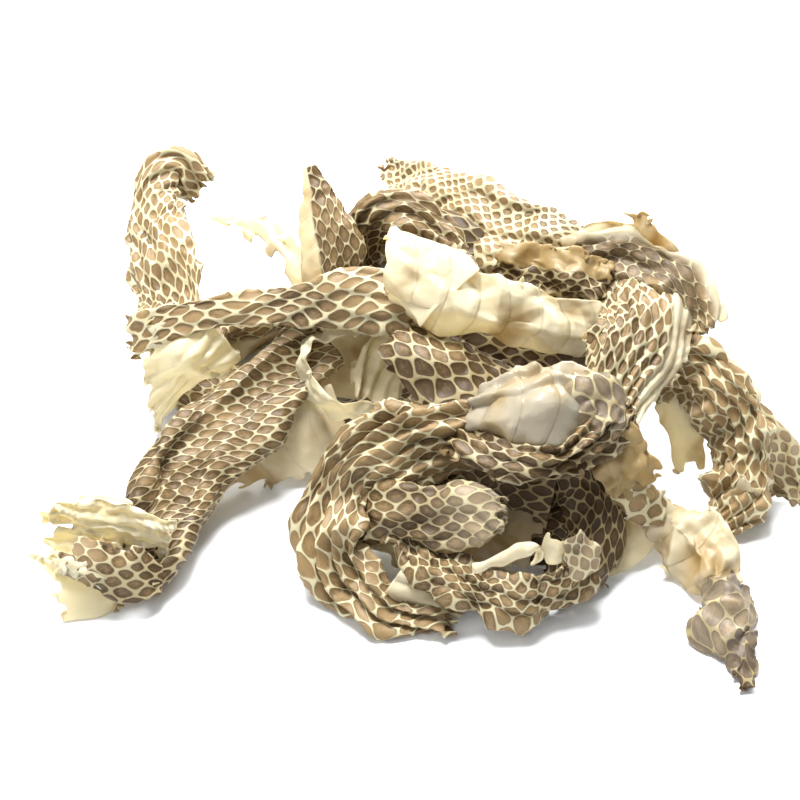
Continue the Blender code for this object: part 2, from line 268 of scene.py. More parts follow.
def facets(across: np.ndarray, along: np.ndarray, spacing: float, seed: int) -> np.ndarray:
    """Flat facets with sharp creases between them, as in crumpled film.

    Args:
        across: millimetres across the run.
        along: millimetres along it.
        spacing: the size of a facet, mm.
        seed: picks the pattern.

    Returns:
        Heights between -1 and 1.
    """
    rng = np.random.default_rng(1000 + seed)
    table = rng.uniform(-1.0, 1.0, (64, 64))
    turn = rng.uniform(0.0, math.pi)
    one = (across * math.cos(turn) - along * math.sin(turn)) / spacing
    two = (across * math.sin(turn) + along * math.cos(turn)) / spacing
    col_at = one + 0.55 * lattice_noise(one * 0.8, two * 0.8, 2000 + seed)
    row_at = two + 0.55 * lattice_noise(one * 0.8 + 9.0, two * 0.8, 3000 + seed)
    col, row = np.floor(col_at).astype(int), np.floor(row_at).astype(int)
    du, dv = col_at - col, row_at - row
    near, right, above, far = corners(table, col, row)
    lower = near + (right - near) * du + (far - right) * dv
    upper = near + (far - above) * du + (above - near) * dv
    return np.where(du > dv, lower, upper)


def crumpling(across: np.ndarray, along: np.ndarray, spacing: float, seed: int) -> np.ndarray:
    """Large and small facets together, between about -1 and 1."""
    large, small = facets(across, along, spacing, seed), facets(across, along, spacing / 2.2, seed + 50)
    return 0.74 * large + 0.26 * small


def smooth_route(route: tuple[Station, ...], count: int) -> np.ndarray:
    """Read count places from a smooth curve through a run's stations.

    Args:
        route: the stations.
        count: how many places.

    Returns:
        One row of x, y, z, roll, width and curl for each place.
    """
    points = np.array([(s.x, s.y, s.z, s.roll, s.width, s.curl) for s in route], dtype=float)
    gaps = np.linalg.norm(np.diff(points[:, :3], axis=0), axis=1)
    knots = np.concatenate(([0.0], np.cumsum(gaps)))
    slopes = np.gradient(points, knots, axis=0)
    at = np.linspace(0.0, knots[-1], count)
    cell = np.clip(np.searchsorted(knots, at, side="right") - 1, 0, len(gaps) - 1)
    length = gaps[cell][:, None]
    share = ((at - knots[cell]) / gaps[cell])[:, None]
    square, cube = share ** 2, share ** 3
    return ((2 * cube - 3 * square + 1) * points[cell]
            + (cube - 2 * square + share) * length * slopes[cell]
            + (3 * square - 2 * cube) * points[cell + 1]
            + (cube - square) * length * slopes[cell + 1])


def frames_along(tangents: np.ndarray, roll: np.ndarray) -> tuple[np.ndarray, np.ndarray]:
    """Give the outward and the sideways directions of a run at each row.

    Args:
        tangents: the direction of the route at each row.
        roll: degrees about it.

    Returns:
        Two arrays of unit directions.
    """
    tangents = tangents / np.linalg.norm(tangents, axis=1)[:, None]
    outward = FRONT_UP - tangents * (tangents @ FRONT_UP)[:, None]
    outward = outward / np.linalg.norm(outward, axis=1)[:, None]
    sideways = np.cross(tangents, outward)
    turn = np.radians(roll)[:, None]
    turned = outward * np.cos(turn) + sideways * np.sin(turn)
    return turned, np.cross(tangents, turned)


def clipped_rise(value: np.ndarray, place: np.ndarray, softness: float) -> np.ndarray:
    """Rise from 0 to 1 in a straight line about a place."""
    return np.clip((value - place) / softness + 0.5, 0.0, 1.0)


def press_down(row: np.ndarray) -> None:
    """Flatten a cross-section that would reach below the floor.

    Args:
        row: the section's points, mm, changed in place.
    """
    low, high = row[:, 2].min(), row[:, 2].max()
    if low < LOWEST:
        room = max(high - LOWEST, 0.5) / max(high - low, 0.5)
        row[:, 2] = LOWEST + (row[:, 2] - low) * room


@dataclass
class Film:
    """The film of one run: points, faces and what each point carries."""

    points: np.ndarray
    faces: np.ndarray
    scale_place: np.ndarray
    scute_place: np.ndarray
    belly: np.ndarray
    shade: np.ndarray
    pearl: np.ndarray
    stretch: np.ndarray


def smooth_rim(points: np.ndarray, faces: np.ndarray, rounds: int = 4) -> np.ndarray:
    """Smooth the outline of a film, which its dropped faces leave stepped.

    Args:
        points: the film's points.
        faces: its faces, four points each.
        rounds: how often each point moves towards its neighbours.

    Returns:
        The moved points.
    """
    sides = np.sort(np.stack((faces, np.roll(faces, -1, axis=1)), axis=-1).reshape(-1, 2), axis=1)
    sides, count = np.unique(sides, axis=0, return_counts=True)
    rim = sides[count == 1]
    near = np.bincount(rim.ravel(), minlength=len(points)).astype(float)
    for _ in range(rounds):
        total = np.zeros_like(points)
        np.add.at(total, rim[:, 0], points[rim[:, 1]])
        np.add.at(total, rim[:, 1], points[rim[:, 0]])
        moved = total / np.maximum(near, 1.0)[:, None]
        points = np.where((near == 2.0)[:, None], (points + moved) / 2.0, points)
    return points


@dataclass(frozen=True)
class FilmMaker:
    """Makes the film of a run.

    Args:
        run: the run.
        grid: spacing of the points, mm.
    """

    run: Run
    grid: float

    def rows(self) -> tuple[np.ndarray, int]:
        """Read the route, with the torn lengths past its two ends.

        Returns:
            One row of x, y, z, roll, width and curl for each place,
            and how many of them stand before the first station.
        """
        points = np.array([(s.x, s.y, s.z) for s in self.run.route])
        length = float(np.linalg.norm(np.diff(points, axis=0), axis=1).sum())
        count = max(6, round(length / self.grid) + 1)
        rows = smooth_route(self.run.route, count)
        first, last = self.run.torn
        step = length / (count - 1)
        before = self._onward(rows[0], rows[0] - rows[1], int(first / step))
        after = self._onward(rows[-1], rows[-1] - rows[-2], int(last / step))
        return np.vstack((before[::-1], rows, after)), len(before)

    @staticmethod
    def _onward(row: np.ndarray, step: np.ndarray, count: int) -> np.ndarray:
        """Carry a route straight on.

        Args:
            row: the route's last row.
            step: the way from one row to the next.
            count: how many rows to add.

        Returns:
            The added rows.
        """
        onward = np.tile(row, (count, 1))
        onward[:, :3] += np.arange(1, count + 1)[:, None] * step[:3]
        return onward

    def build(self) -> Film:
        """Bend, wrinkle and tear the film.

        Returns:
            The film, in metres.
        """
        run = self.run
        rows, start = self.rows()
        columns = max(6, round(max(station.width for station in run.route) / self.grid) + 1)
        place = np.linspace(0.0, 1.0, columns)
        steps = np.linalg.norm(np.diff(rows[:, :3], axis=0), axis=1)
        along = np.concatenate(([0.0], np.cumsum(steps)))
        along = along - along[start]
        outward, sideways = frames_along(np.gradient(rows[:, :3], axis=0), rows[:, 3])
        side, out, heading = self._bend(rows, place, along)
        across = rows[:, 4:5] * place
        along = np.repeat(along[:, None], columns, axis=1)
        height = self._height(across, along)
        slide = SHEAR * facets(across, along, run.facet * 0.8, 70 + run.order)
        side = side + height * np.sin(heading) + slide * np.cos(heading)
        out = out + height * np.cos(heading) - slide * np.sin(heading)
        grid = rows[:, None, :3] + side[..., None] * sideways[:, None] + out[..., None] * outward[:, None]
        for row in grid:
            press_down(row)
        grid[:, :, :2] -= HEAP_CENTRE
        return self._film(grid, across, along, rows[:, 4], height)

    def _bend(self, rows: np.ndarray, place: np.ndarray,
              along: np.ndarray) -> tuple[np.ndarray, np.ndarray, np.ndarray]:
        """Bend each row of the strip into its cross-section.

        Args:
            rows: the route's numbers.
            place: places across, 0 to 1.
            along: millimetres along the run, for each row.

        Returns:
            Offsets sideways and outwards, and the heading of the skin.
        """
        run = self.run
        middle = ((place[:-1] + place[1:]) / 2.0)[None, :]
        heading = np.radians(rows[:, 5:6]) * (middle - 0.5)
        for index, crease in enumerate(run.creases):
            drift = lattice_noise(along / 15.0, np.full_like(along, 3.3 * index), 60 + run.order)
            wander = crease.place + CREASE_WANDER * drift[:, None]
            sway = lattice_noise(along / 19.0, np.full_like(along, 7.7 * index), 90 + run.order)
            angle = math.radians(crease.angle) * (1.0 + CREASE_SWAY * sway)[:, None]
            softness = crease.softness * CREASE_SHARP
            heading = heading + angle * (clipped_rise(middle, wander, softness)
                                         - clipped_rise(np.array(0.5), wander, softness))
        if run.lip:
            edges = smooth_step(LIP_START, 1.0, middle) - smooth_step(LIP_START, 1.0, 1.0 - middle)
            heading = heading + math.radians(run.lip) * edges
        step = rows[:, 4:5] * np.diff(place)[None, :]
        start = np.zeros((len(rows), 1))
        side = np.hstack((start, np.cumsum(np.cos(heading) * step, axis=1)))
        out = np.hstack((start, np.cumsum(-np.sin(heading) * step, axis=1)))
        half = (len(place) - 1) // 2
        ends = np.hstack((heading[:, :1], (heading[:, :-1] + heading[:, 1:]) / 2.0, heading[:, -1:]))
        return side - side[:, half:half + 1], out - out[:, half:half + 1], ends

    def _height(self, across: np.ndarray, along: np.ndarray) -> np.ndarray:
        """Give the wrinkles, pleats, dents and facets.

        Args:
            across: millimetres across the run at each point.
            along: millimetres along it.

        Returns:
            How far each point stands out from the smooth strip, mm.
        """
        run = self.run
        sway = 0.3 * np.sin(across / 6.0 + run.order)
        crossing = fold_wave(along / WRINKLE_LONG + sway + 0.37 * run.order)
        ridges = fold_wave(across / WRINKLE_WIDE + along / 55.0 + 0.61 * run.order)
        height = run.crumple * (0.6 * crossing + 0.4 * ridges)
        height = height + run.dent * Pattern.DENT.at(across, along, run.order)
        height = height + run.crinkle * crumpling(across, along, run.facet, run.order)
        if run.pleat:
            drift = Pattern.PLEAT_DRIFT.at(across, along, run.order)
            strength = 0.65 + 0.5 * Pattern.PLEAT_HEIGHT.at(across, along, run.order)
            turns = across / run.pleats + 0.8 * drift + along / 90.0
            height = height + run.pleat * strength * fold_wave(turns, PLEAT_PEAK)
        return height

    def _scale_axes(self, across: np.ndarray, along: np.ndarray,
                    from_middle: np.ndarray) -> tuple[np.ndarray, np.ndarray]:
        """Measure along and across the rows of scales, which stretch unevenly.

        Args:
            across: millimetres across the run at each point.
            along: millimetres along it.
            from_middle: millimetres from the middle of the back, where the rows run true.

        Returns:
            Scale lengths along the rows, and rows across them.
        """
        run = self.run
        length, spacing = run.scale
        turn = math.radians(run.slant)
        pull_on = 1.3 * Pattern.SCALE_LENGTH.at(across, along, run.order)
        pull_out = 1.5 * Pattern.SCALE_ROW.at(across, along, run.order)
        ahead = along * math.cos(turn) + from_middle * math.sin(turn) + pull_on
        aside = from_middle * math.cos(turn) - along * math.sin(turn) + pull_out
        return ahead / length, aside / spacing

    def _film(self, grid: np.ndarray, across: np.ndarray, along: np.ndarray,
              widths: np.ndarray, height: np.ndarray) -> Film:
        """Drop what is torn away and gather what the points carry.

        Args:
            grid: the points, mm.
            across: millimetres across the run at each point.
            along: millimetres along it.
            widths: the run's width at each row.
            height: how far each point stands out, mm.

        Returns:
            The film, in metres.
        """
        run = self.run
        kept = self._kept_faces(across, along, widths)
        rows, columns = across.shape
        first = (np.arange(rows - 1)[:, None] * columns + np.arange(columns - 1)).ravel()
        faces = np.stack((first, first + 1, first + columns + 1, first + columns), axis=1)[kept.ravel()]
        used, faces = np.unique(faces, return_inverse=True)
        faces = faces.reshape(-1, 4)
        points = smooth_rim(grid.reshape(-1, 3)[used], faces)
        from_middle = across - widths[:, None] / 2.0
        ahead, aside = self._scale_axes(across, along, from_middle)
        place = np.stack((ahead, aside, np.full_like(along, run.order)), axis=-1)
        onward = smooth_step(TIP_START, 1.0, (along - along[0, 0]) / (along[-1, 0] - along[0, 0]))
        tip_shade, tip_pearl = run.tip if run.tip else (run.shade, run.pearl)
        # How dark the run is drawn, its own tone with painted shade, blends towards its tip's.
        shade = run.shade + (tip_shade - run.shade) * onward
        # Tone differs in random patches; crests are drawn paler and hollows darker, painted light and shade.
        shade = shade + run.patch * Pattern.SHADE.at(across, along, run.order) - CREST_PAINTED_LIGHT * height
        scute = along / SCUTE + SCUTE_BOW * from_middle ** 2
        carried = {
            "scute_place": scute if run.plates else np.full_like(along, 0.5),
            "belly": self._belly(across / widths[:, None]),
            "shade": shade,
            "pearl": run.pearl + (tip_pearl - run.pearl) * onward,
            "stretch": run.net + 0.07 * Pattern.NET_WIDTH.at(across, along, run.order)}
        return Film(points=points * MM, faces=faces, scale_place=place.reshape(-1, 3)[used],
                    **{name: values.ravel()[used] for name, values in carried.items()})

    def _belly(self, share: np.ndarray) -> np.ndarray:
        """Say which of the run is belly: all of it, or a strip at each edge.

        Args:
            share: how far across the run each point lies, 0 to 1.

        Returns:
            1 on the belly and 0 on the back.
        """
        left, right = (1.0, 1.0) if self.run.side is Side.BELLY else self.run.scutes
        return np.maximum(1.0 - smooth_step(left - 0.02, left + 0.02, share),
                          smooth_step(0.98 - right, 1.02 - right, share))

    def _kept_faces(self, across: np.ndarray, along: np.ndarray, widths: np.ndarray) -> np.ndarray:
        """Say which faces are left by the tears, which follow whole scales.

        Args:
            across: millimetres across the run at each point.
            along: millimetres along it.
            widths: the run's width at each row.

        Returns:
            True for each face that stays.
        """
        run = self.run
        length, spacing = run.scale
        mid_u = (across[:-1, :-1] + across[1:, 1:]) / 2.0
        mid_v = (along[:-1, :-1] + along[1:, 1:]) / 2.0
        width = np.repeat(widths[:-1, None], mid_u.shape[1], axis=1)
        row = np.round((mid_u - width / 2.0) / spacing)
        shift = 0.5 * np.mod(row, 2.0)
        col = np.round(mid_v / length - shift)
        cell_v = (col + shift) * length
        cell_u = row * spacing + width / 2.0
        odds = 0.5 + 0.5 * np.sin(row * 12.9898 + col * 78.233 + run.order * 3.7)
        rough = 0.5 + 0.5 * Pattern.TEAR.at(mid_u, mid_v, run.order)
        notch = np.clip(fold_wave(mid_u / NOTCH + mid_v / 90.0 + 0.23 * run.order), 0.0, 1.0) ** 2
        bite = 0.30 * odds + 0.35 * rough + 0.35 * notch
        start, end, left, right = run.ragged
        low, high = along[0, 0], along[-1, 0]
        keep = cell_v - low > bite * start
        keep &= high - cell_v > bite * end
        keep &= (cell_u > bite * left) & (width - cell_u > bite * right)
        keep |= (mid_v - low > start) & (high - mid_v > end) & (mid_u > left) & (width - mid_u > right)
        return keep


def add_node(tree: Tree, kind: str, settings: dict | None = None, inputs: dict | None = None) -> Node:
    """Add a node with its settings and links.

    Args:
        tree: the node tree.
        kind: the node's type.
        settings: attributes to set.
        inputs: a value or an output socket for each input, by name or index.

    Returns:
        The node.
    """
    node = tree.nodes.new(kind)
    for name, value in (settings or {}).items():
        setattr(node, name, value)
    for key, value in (inputs or {}).items():
        socket = node.inputs[key]
        if isinstance(value, Socket):
            tree.links.new(value, socket)
        else:
            socket.default_value = value
    return node


def math_node(tree: Tree, operation: str, *values: object) -> Socket:
    """Add a Math node and return its result."""
    return add_node(tree, "ShaderNodeMath", {"operation": operation}, dict(enumerate(values))).outputs[0]


def vector_node(tree: Tree, operation: str, inputs: dict) -> Socket:
    """Add a Vector Math node and return its result."""
    return add_node(tree, "ShaderNodeVectorMath", {"operation": operation}, inputs).outputs[0]


def choose(tree: Tree, choice: object, yes: object, no: object) -> Socket:
    """Give yes where choice is 1 and no where it is 0."""
    return math_node(tree, "MULTIPLY_ADD", choice, math_node(tree, "SUBTRACT", yes, no), no)


def ramp(tree: Tree, value: Socket, low: float, high: float, start: float = 0.0, end: float = 1.0) -> Socket:
    """Rise smoothly from one number to another.

    Args:
        tree: the node tree.
        value: what is read.
        low: the reading where the rise starts.
        high: the reading where it ends.
        start: the result up to low.
        end: the result from high on.

    Returns:
        The result.
    """
    settings = {"interpolation_type": "SMOOTHSTEP", "clamp": True}
    inputs = {"Value": value, "From Min": low, "From Max": high, "To Min": start, "To Max": end}
    return add_node(tree, "ShaderNodeMapRange", settings, inputs).outputs[0]


@dataclass(frozen=True)
class ScaleLattice:
    """Staggered rows of rounded six-sided scales, the same for relief and for colour.

    Args:
        roundness: the power of a scale's outline: 2 is an ellipse, more is a hexagon.
        blunt: half the length of a scale's blunt ends, in rows: 0 is a diamond.
        waver: how far the rows stray, in scale lengths.
    """

    roundness: float = 5.0
    blunt: float = 0.22
    waver: float = 0.15

    def build(self, tree: Tree, place: Socket) -> tuple[Socket, Socket]:
        """Add the nodes that measure a place against the nearest scale.

        Args:
            tree: a shader or a geometry tree.
            place: along in scale lengths, across in rows, and the run.

        Returns:
            The distance, 0 at a scale's middle and about 1 midway to the next,
            and a vector that is the same all over one scale.
        """
        noise = add_node(tree, "ShaderNodeTexNoise", {}, {"Vector": place, "Scale": 0.8, "Detail": 2.5})
        centred = vector_node(tree, "SUBTRACT", {0: noise.outputs["Color"], 1: (0.5, 0.5, 0.5)})
        reach = (self.waver * 2, self.waver * 3, 0.0)
        moved = vector_node(tree, "MULTIPLY_ADD", {0: centred, 1: reach, 2: place})
        parts = add_node(tree, "ShaderNodeSeparateXYZ", {}, {0: moved})
        # Even and odd rows are two plain grids, half a scale and one row apart.
        even, even_cell = self._grid(tree, parts, 0.0, 0.0)
        odd, odd_cell = self._grid(tree, parts, 0.5, 1.0)
        nearer = math_node(tree, "LESS_THAN", odd, even)
        cells = {0: nearer, 4: even_cell, 5: odd_cell}
        cell = add_node(tree, "ShaderNodeMix", {"data_type": "VECTOR"}, cells).outputs[1]
        return math_node(tree, "MINIMUM", even, odd), cell

    def _grid(self, tree: Tree, parts: Node, ahead: float, aside: float) -> tuple[Socket, Socket]:
        """Measure a place against the nearest scale of every second row.

        Args:
            tree: the tree.
            parts: the place, separated.
            ahead: how far these scales are shifted along, in scale lengths.
            aside: which rows these are.

        Returns:
            The distance, and the scale's own vector.
        """
        along = math_node(tree, "SUBTRACT", parts.outputs[0], ahead)
        across = math_node(tree, "SUBTRACT", parts.outputs[1], aside)
        column = math_node(tree, "ROUND", along)
        pair = math_node(tree, "ROUND", math_node(tree, "MULTIPLY", across, 0.5))
        off_along = math_node(tree, "SUBTRACT", along, column)
        off_across = math_node(tree, "MULTIPLY_ADD", pair, -2.0, across)
        flank = math_node(tree, "MULTIPLY", off_across, 1.0 / (1.0 - self.blunt))
        lean = math_node(tree, "MULTIPLY", off_along, (2.0 - 4.0 * self.blunt) / (1.0 - self.blunt))
        sides = (math_node(tree, "MULTIPLY", off_along, 2.0), math_node(tree, "ADD", flank, lean),
                 math_node(tree, "SUBTRACT", flank, lean))
        lengths = [math_node(tree, "ABSOLUTE", side) for side in sides]
        powers = [math_node(tree, "POWER", length, self.roundness) for length in lengths]
        total = math_node(tree, "ADD", math_node(tree, "ADD", powers[0], powers[1]), powers[2])
        distance = math_node(tree, "POWER", total, 1.0 / self.roundness)
        run = math_node(tree, "ADD", parts.outputs[2], aside * 0.5)
        cell = add_node(tree, "ShaderNodeCombineXYZ", {}, {0: column, 1: pair, 2: run}).outputs[0]
        return distance, cell


LATTICE = ScaleLattice()


def new_tree(name: str, inputs: dict[str, str]) -> tuple[Tree, Node]:
    """Start a geometry tree.

    Args:
        name: its name.
        inputs: the kind of each named input.

    Returns:
        The tree, and the node that gives its inputs.
    """
    tree = bpy.data.node_groups.new(name, "GeometryNodeTree")
    for title, kind in inputs.items():
        tree.interface.new_socket(title, in_out="INPUT", socket_type="NodeSocket" + kind)
    tree.interface.new_socket("Geometry", in_out="OUTPUT", socket_type="NodeSocketGeometry")
    return tree, add_node(tree, "NodeGroupInput")


def end_tree(tree: Tree, geometry: Socket, finish: Socket) -> None:
    """End a geometry tree in plain geometry that carries its material.

    Args:
        tree: the tree.
        geometry: what it makes.
        finish: the material.
    """
    plain = add_node(tree, "GeometryNodeRealizeInstances", {}, {0: geometry})
    dressed = add_node(tree, "GeometryNodeSetMaterial", {},
                       {"Geometry": plain.outputs[0], "Material": finish})
    add_node(tree, "NodeGroupOutput", {}, {0: dressed.outputs[0]})


def plain_mesh(piece: bpy.types.Object, tree: Tree, values: dict[str, object]) -> None:
    """Run a node tree on a piece and leave a plain mesh.

    Args:
        piece: the object.
        tree: the geometry tree.
        values: what its named inputs are set to.
    """
    modifier = piece.modifiers.new(tree.name, "NODES")
    modifier.node_group = tree
    for item in tree.interface.items_tree:
        if item.in_out == "INPUT" and item.name in values:
            modifier[item.identifier] = values[item.name]
    graph = bpy.context.evaluated_depsgraph_get()
    plain = bpy.data.meshes.new_from_object(piece.evaluated_get(graph))
    piece.modifiers.remove(modifier)
    old, piece.data = piece.data, plain
    bpy.data.meshes.remove(old)


@dataclass(frozen=True)
class ScaleRelief:
    """Geometry Nodes that raise the net between the scales and step the scutes.

    Args:
        net_height: how far the net stands above the scales, mm.
        scute_step: the step at each scute's free edge, mm.
        net_rise: the distances from a scale's middle between which the net rises.
        scute_drop: the places along a scute between which its edge drops.
    """

    net_height: float = 0.30
    scute_step: float = 0.28
    net_rise: tuple[float, float] = (0.62, 0.98)
    scute_drop: tuple[float, float] = (0.90, 0.99)

    def sizes(self) -> dict[str, float]:
        """Give the tree's named sizes."""
        return {"Net height": self.net_height, "Scute step": self.scute_step}

    def tree(self) -> Tree:
        """Build the node tree, with named inputs for its sizes.

        Returns:
            The tree.
        """
        tree, given = new_tree("Scale relief", {"Geometry": "Geometry", "Net height": "Float",
                                                "Scute step": "Float", "Finish": "Material"})
        distance, _ = LATTICE.build(tree, self._attribute(tree, "scale_place", "FLOAT_VECTOR"))
        net_mm = math_node(tree, "MULTIPLY", ramp(tree, distance, *self.net_rise),
                           given.outputs["Net height"])
        # A scute rises slowly to its free edge and drops there.
        slope = math_node(tree, "FRACT", self._attribute(tree, "scute_place", "FLOAT"))
        shingle = math_node(tree, "SUBTRACT", slope, ramp(tree, slope, *self.scute_drop))
        scute_mm = math_node(tree, "MULTIPLY", shingle, given.outputs["Scute step"])
        height = choose(tree, self._attribute(tree, "belly", "FLOAT"), scute_mm, net_mm)
        metres = math_node(tree, "MULTIPLY", height, MM)
        normal = add_node(tree, "GeometryNodeInputNormal").outputs[0]
        offset = vector_node(tree, "SCALE", {0: normal, "Scale": metres})
        moved = add_node(tree, "GeometryNodeSetPosition", {},
                         {"Geometry": given.outputs["Geometry"], "Offset": offset})
        end_tree(tree, moved.outputs[0], given.outputs["Finish"])
        return tree

    @staticmethod
    def _attribute(tree: Tree, name: str, kind: str) -> Socket:
        """Read a named attribute of the film."""
        node = add_node(tree, "GeometryNodeInputNamedAttribute", {"data_type": kind}, {"Name": name})
        return node.outputs[0]


@dataclass(frozen=True)
class TornScales:
    """Geometry Nodes that stand loose scales along the tears.

    Args:
        length: length of a scale, mm.
        share: share of the tear's edges that carry one.
        curl: how far a scale curls up, in scale lengths.
        tilt: the most that a scale leans, degrees.
        swing: the most that it turns about its upright, radians.
        spread: the smallest and the largest scale, in lengths.
        width: width of a scale, in lengths.
        taper: how much its ends narrow.
        plate: where its rim lies among the scales of the skin, for its colour.
    """

    length: float = 2.6
    share: float = 0.022
    curl: float = 0.35
    tilt: float = 55.0
    swing: float = 3.2
    spread: tuple[float, float] = (0.55, 1.25)
    width: float = 0.62
    taper: float = 3.4
    plate: tuple[float, float, float] = (0.8, 1.6, 0.0)

    def sizes(self) -> dict[str, float]:
        """Give the tree's named sizes."""
        return {"Length": self.length, "Share": self.share, "Curl": self.curl,
                "Tilt": math.radians(self.tilt)}

    def tree(self) -> Tree:
        """Build the node tree, with named inputs for its sizes.

        Returns:
            The tree.
        """
        tree, given = new_tree("Torn scales", {"Geometry": "Geometry", "Length": "Float", "Share": "Float",
                                               "Curl": "Float", "Tilt": "Float", "Seed": "Int",
                                               "Finish": "Material"})
        film, seed, tilt = (given.outputs[name] for name in ("Geometry", "Seed", "Tilt"))
        kept = add_node(tree, "GeometryNodeCaptureAttribute", {"domain": "POINT"}, {"Geometry": film})
        kept.capture_items.new("VECTOR", "Normal")
        tree.links.new(add_node(tree, "GeometryNodeInputNormal").outputs[0], kept.inputs["Normal"])
        # Only an edge of the tear has a single face.
        count = add_node(tree, "GeometryNodeInputMeshEdgeNeighbors").outputs[0]
        on_tear = add_node(tree, "FunctionNodeCompare", {"data_type": "INT", "operation": "EQUAL"},
                           {"A": count, "B": 1}).outputs[0]
        pick = add_node(tree, "FunctionNodeRandomValue", {"data_type": "BOOLEAN"},
                        {"Probability": given.outputs["Share"], "Seed": seed}).outputs[3]
        chosen = add_node(tree, "FunctionNodeBooleanMath", {"operation": "AND"},
                          {0: on_tear, 1: pick}).outputs[0]
        spots = add_node(tree, "GeometryNodeMeshToPoints", {"mode": "EDGES"},
                         {"Mesh": kept.outputs["Geometry"], "Selection": chosen}).outputs[0]
        upright = add_node(tree, "FunctionNodeAlignRotationToVector", {"axis": "Z"},
                           {"Vector": kept.outputs["Normal"]}).outputs[0]
        scale = self._scale(tree, given)
        placed = add_node(tree, "GeometryNodeInstanceOnPoints", {},
                          {"Points": spots, "Instance": scale, "Rotation": upright}).outputs[0]
        ends = {"Min": (-1.0, -1.0, -self.swing), "Max": (1.0, 1.0, self.swing), "Seed": seed}
        lean = add_node(tree, "FunctionNodeRandomValue", {"data_type": "FLOAT_VECTOR"}, ends).outputs[0]
        most = add_node(tree, "ShaderNodeCombineXYZ", {}, {0: tilt, 1: tilt, 2: 1.0}).outputs[0]
        turn = vector_node(tree, "MULTIPLY", {0: lean, 1: most})
        leaning = add_node(tree, "GeometryNodeRotateInstances", {},
                           {"Instances": placed, "Rotation": turn}).outputs[0]
        size = add_node(tree, "FunctionNodeRandomValue", {"data_type": "FLOAT"},
                        {"Min": self.spread[0], "Max": self.spread[1], "Seed": seed}).outputs[1]
        sized = add_node(tree, "GeometryNodeScaleInstances", {},
                         {"Instances": leaning, "Scale": size}).outputs[0]
        both = add_node(tree, "GeometryNodeJoinGeometry")
        tree.links.new(film, both.inputs[0])
        tree.links.new(sized, both.inputs[0])
        plain = add_node(tree, "GeometryNodeRealizeInstances", {}, {0: both.outputs[0]})
        # No scale reaches through the floor.
        here = add_node(tree, "GeometryNodeInputPosition").outputs[0]
        above = vector_node(tree, "MAXIMUM", {0: here, 1: (-1.0, -1.0, FILM * MM)})
        lifted = add_node(tree, "GeometryNodeSetPosition", {},
                          {"Geometry": plain.outputs[0], "Position": above})
        end_tree(tree, lifted.outputs[0], given.outputs["Finish"])
        return tree

    def _scale(self, tree: Tree, given: Node) -> Socket:
        """Make one loose scale, a pointed oval that curls up at both ends.

        Args:
            tree: the tree.
            given: its inputs.

        Returns:
            The scale's geometry.
        """
        grid = add_node(tree, "GeometryNodeMeshGrid", {},
                        {"Size X": 1.0, "Size Y": self.width, "Vertices X": 7, "Vertices Y": 4})
        here = add_node(tree, "GeometryNodeInputPosition").outputs[0]
        parts = add_node(tree, "ShaderNodeSeparateXYZ", {}, {0: here})
        ahead, aside = parts.outputs[0], parts.outputs[1]
        square = math_node(tree, "MULTIPLY", ahead, ahead)
        taper = math_node(tree, "SUBTRACT", 1.0, math_node(tree, "MULTIPLY", square, self.taper))
        # The ends lie at half a length, so they rise by the whole curl.
        rise = math_node(tree, "MULTIPLY", square, math_node(tree, "MULTIPLY", given.outputs["Curl"], 4.0))
        shape = add_node(tree, "ShaderNodeCombineXYZ", {},
                         {0: ahead, 1: math_node(tree, "MULTIPLY", aside, taper), 2: rise}).outputs[0]
        metres = math_node(tree, "MULTIPLY", given.outputs["Length"], MM)
        sized = vector_node(tree, "SCALE", {0: shape, "Scale": metres})
        curled = add_node(tree, "GeometryNodeSetPosition", {},
                          {"Geometry": grid.outputs["Mesh"], "Position": sized}).outputs[0]
        place = vector_node(tree, "MULTIPLY", {0: shape, 1: self.plate})
        return add_node(tree, "GeometryNodeStoreNamedAttribute",
                        {"data_type": "FLOAT_VECTOR", "domain": "POINT"},
                        {"Geometry": curled, "Name": "scale_place", "Value": place}).outputs[0]


def linear(colour: str) -> tuple[float, float, float, float]:
    """Turn an sRGB hex colour into linear values with alpha 1.

    Args:
        colour: such as "#8C735A".

    Returns:
        Red, green, blue and alpha.
    """
    values = [int(colour[i:i + 2], 16) / 255.0 for i in (1, 3, 5)]
    lin = [v / 12.92 if v <= 0.04045 else ((v + 0.055) / 1.055) ** 2.4 for v in values]
    return (*lin, 1.0)


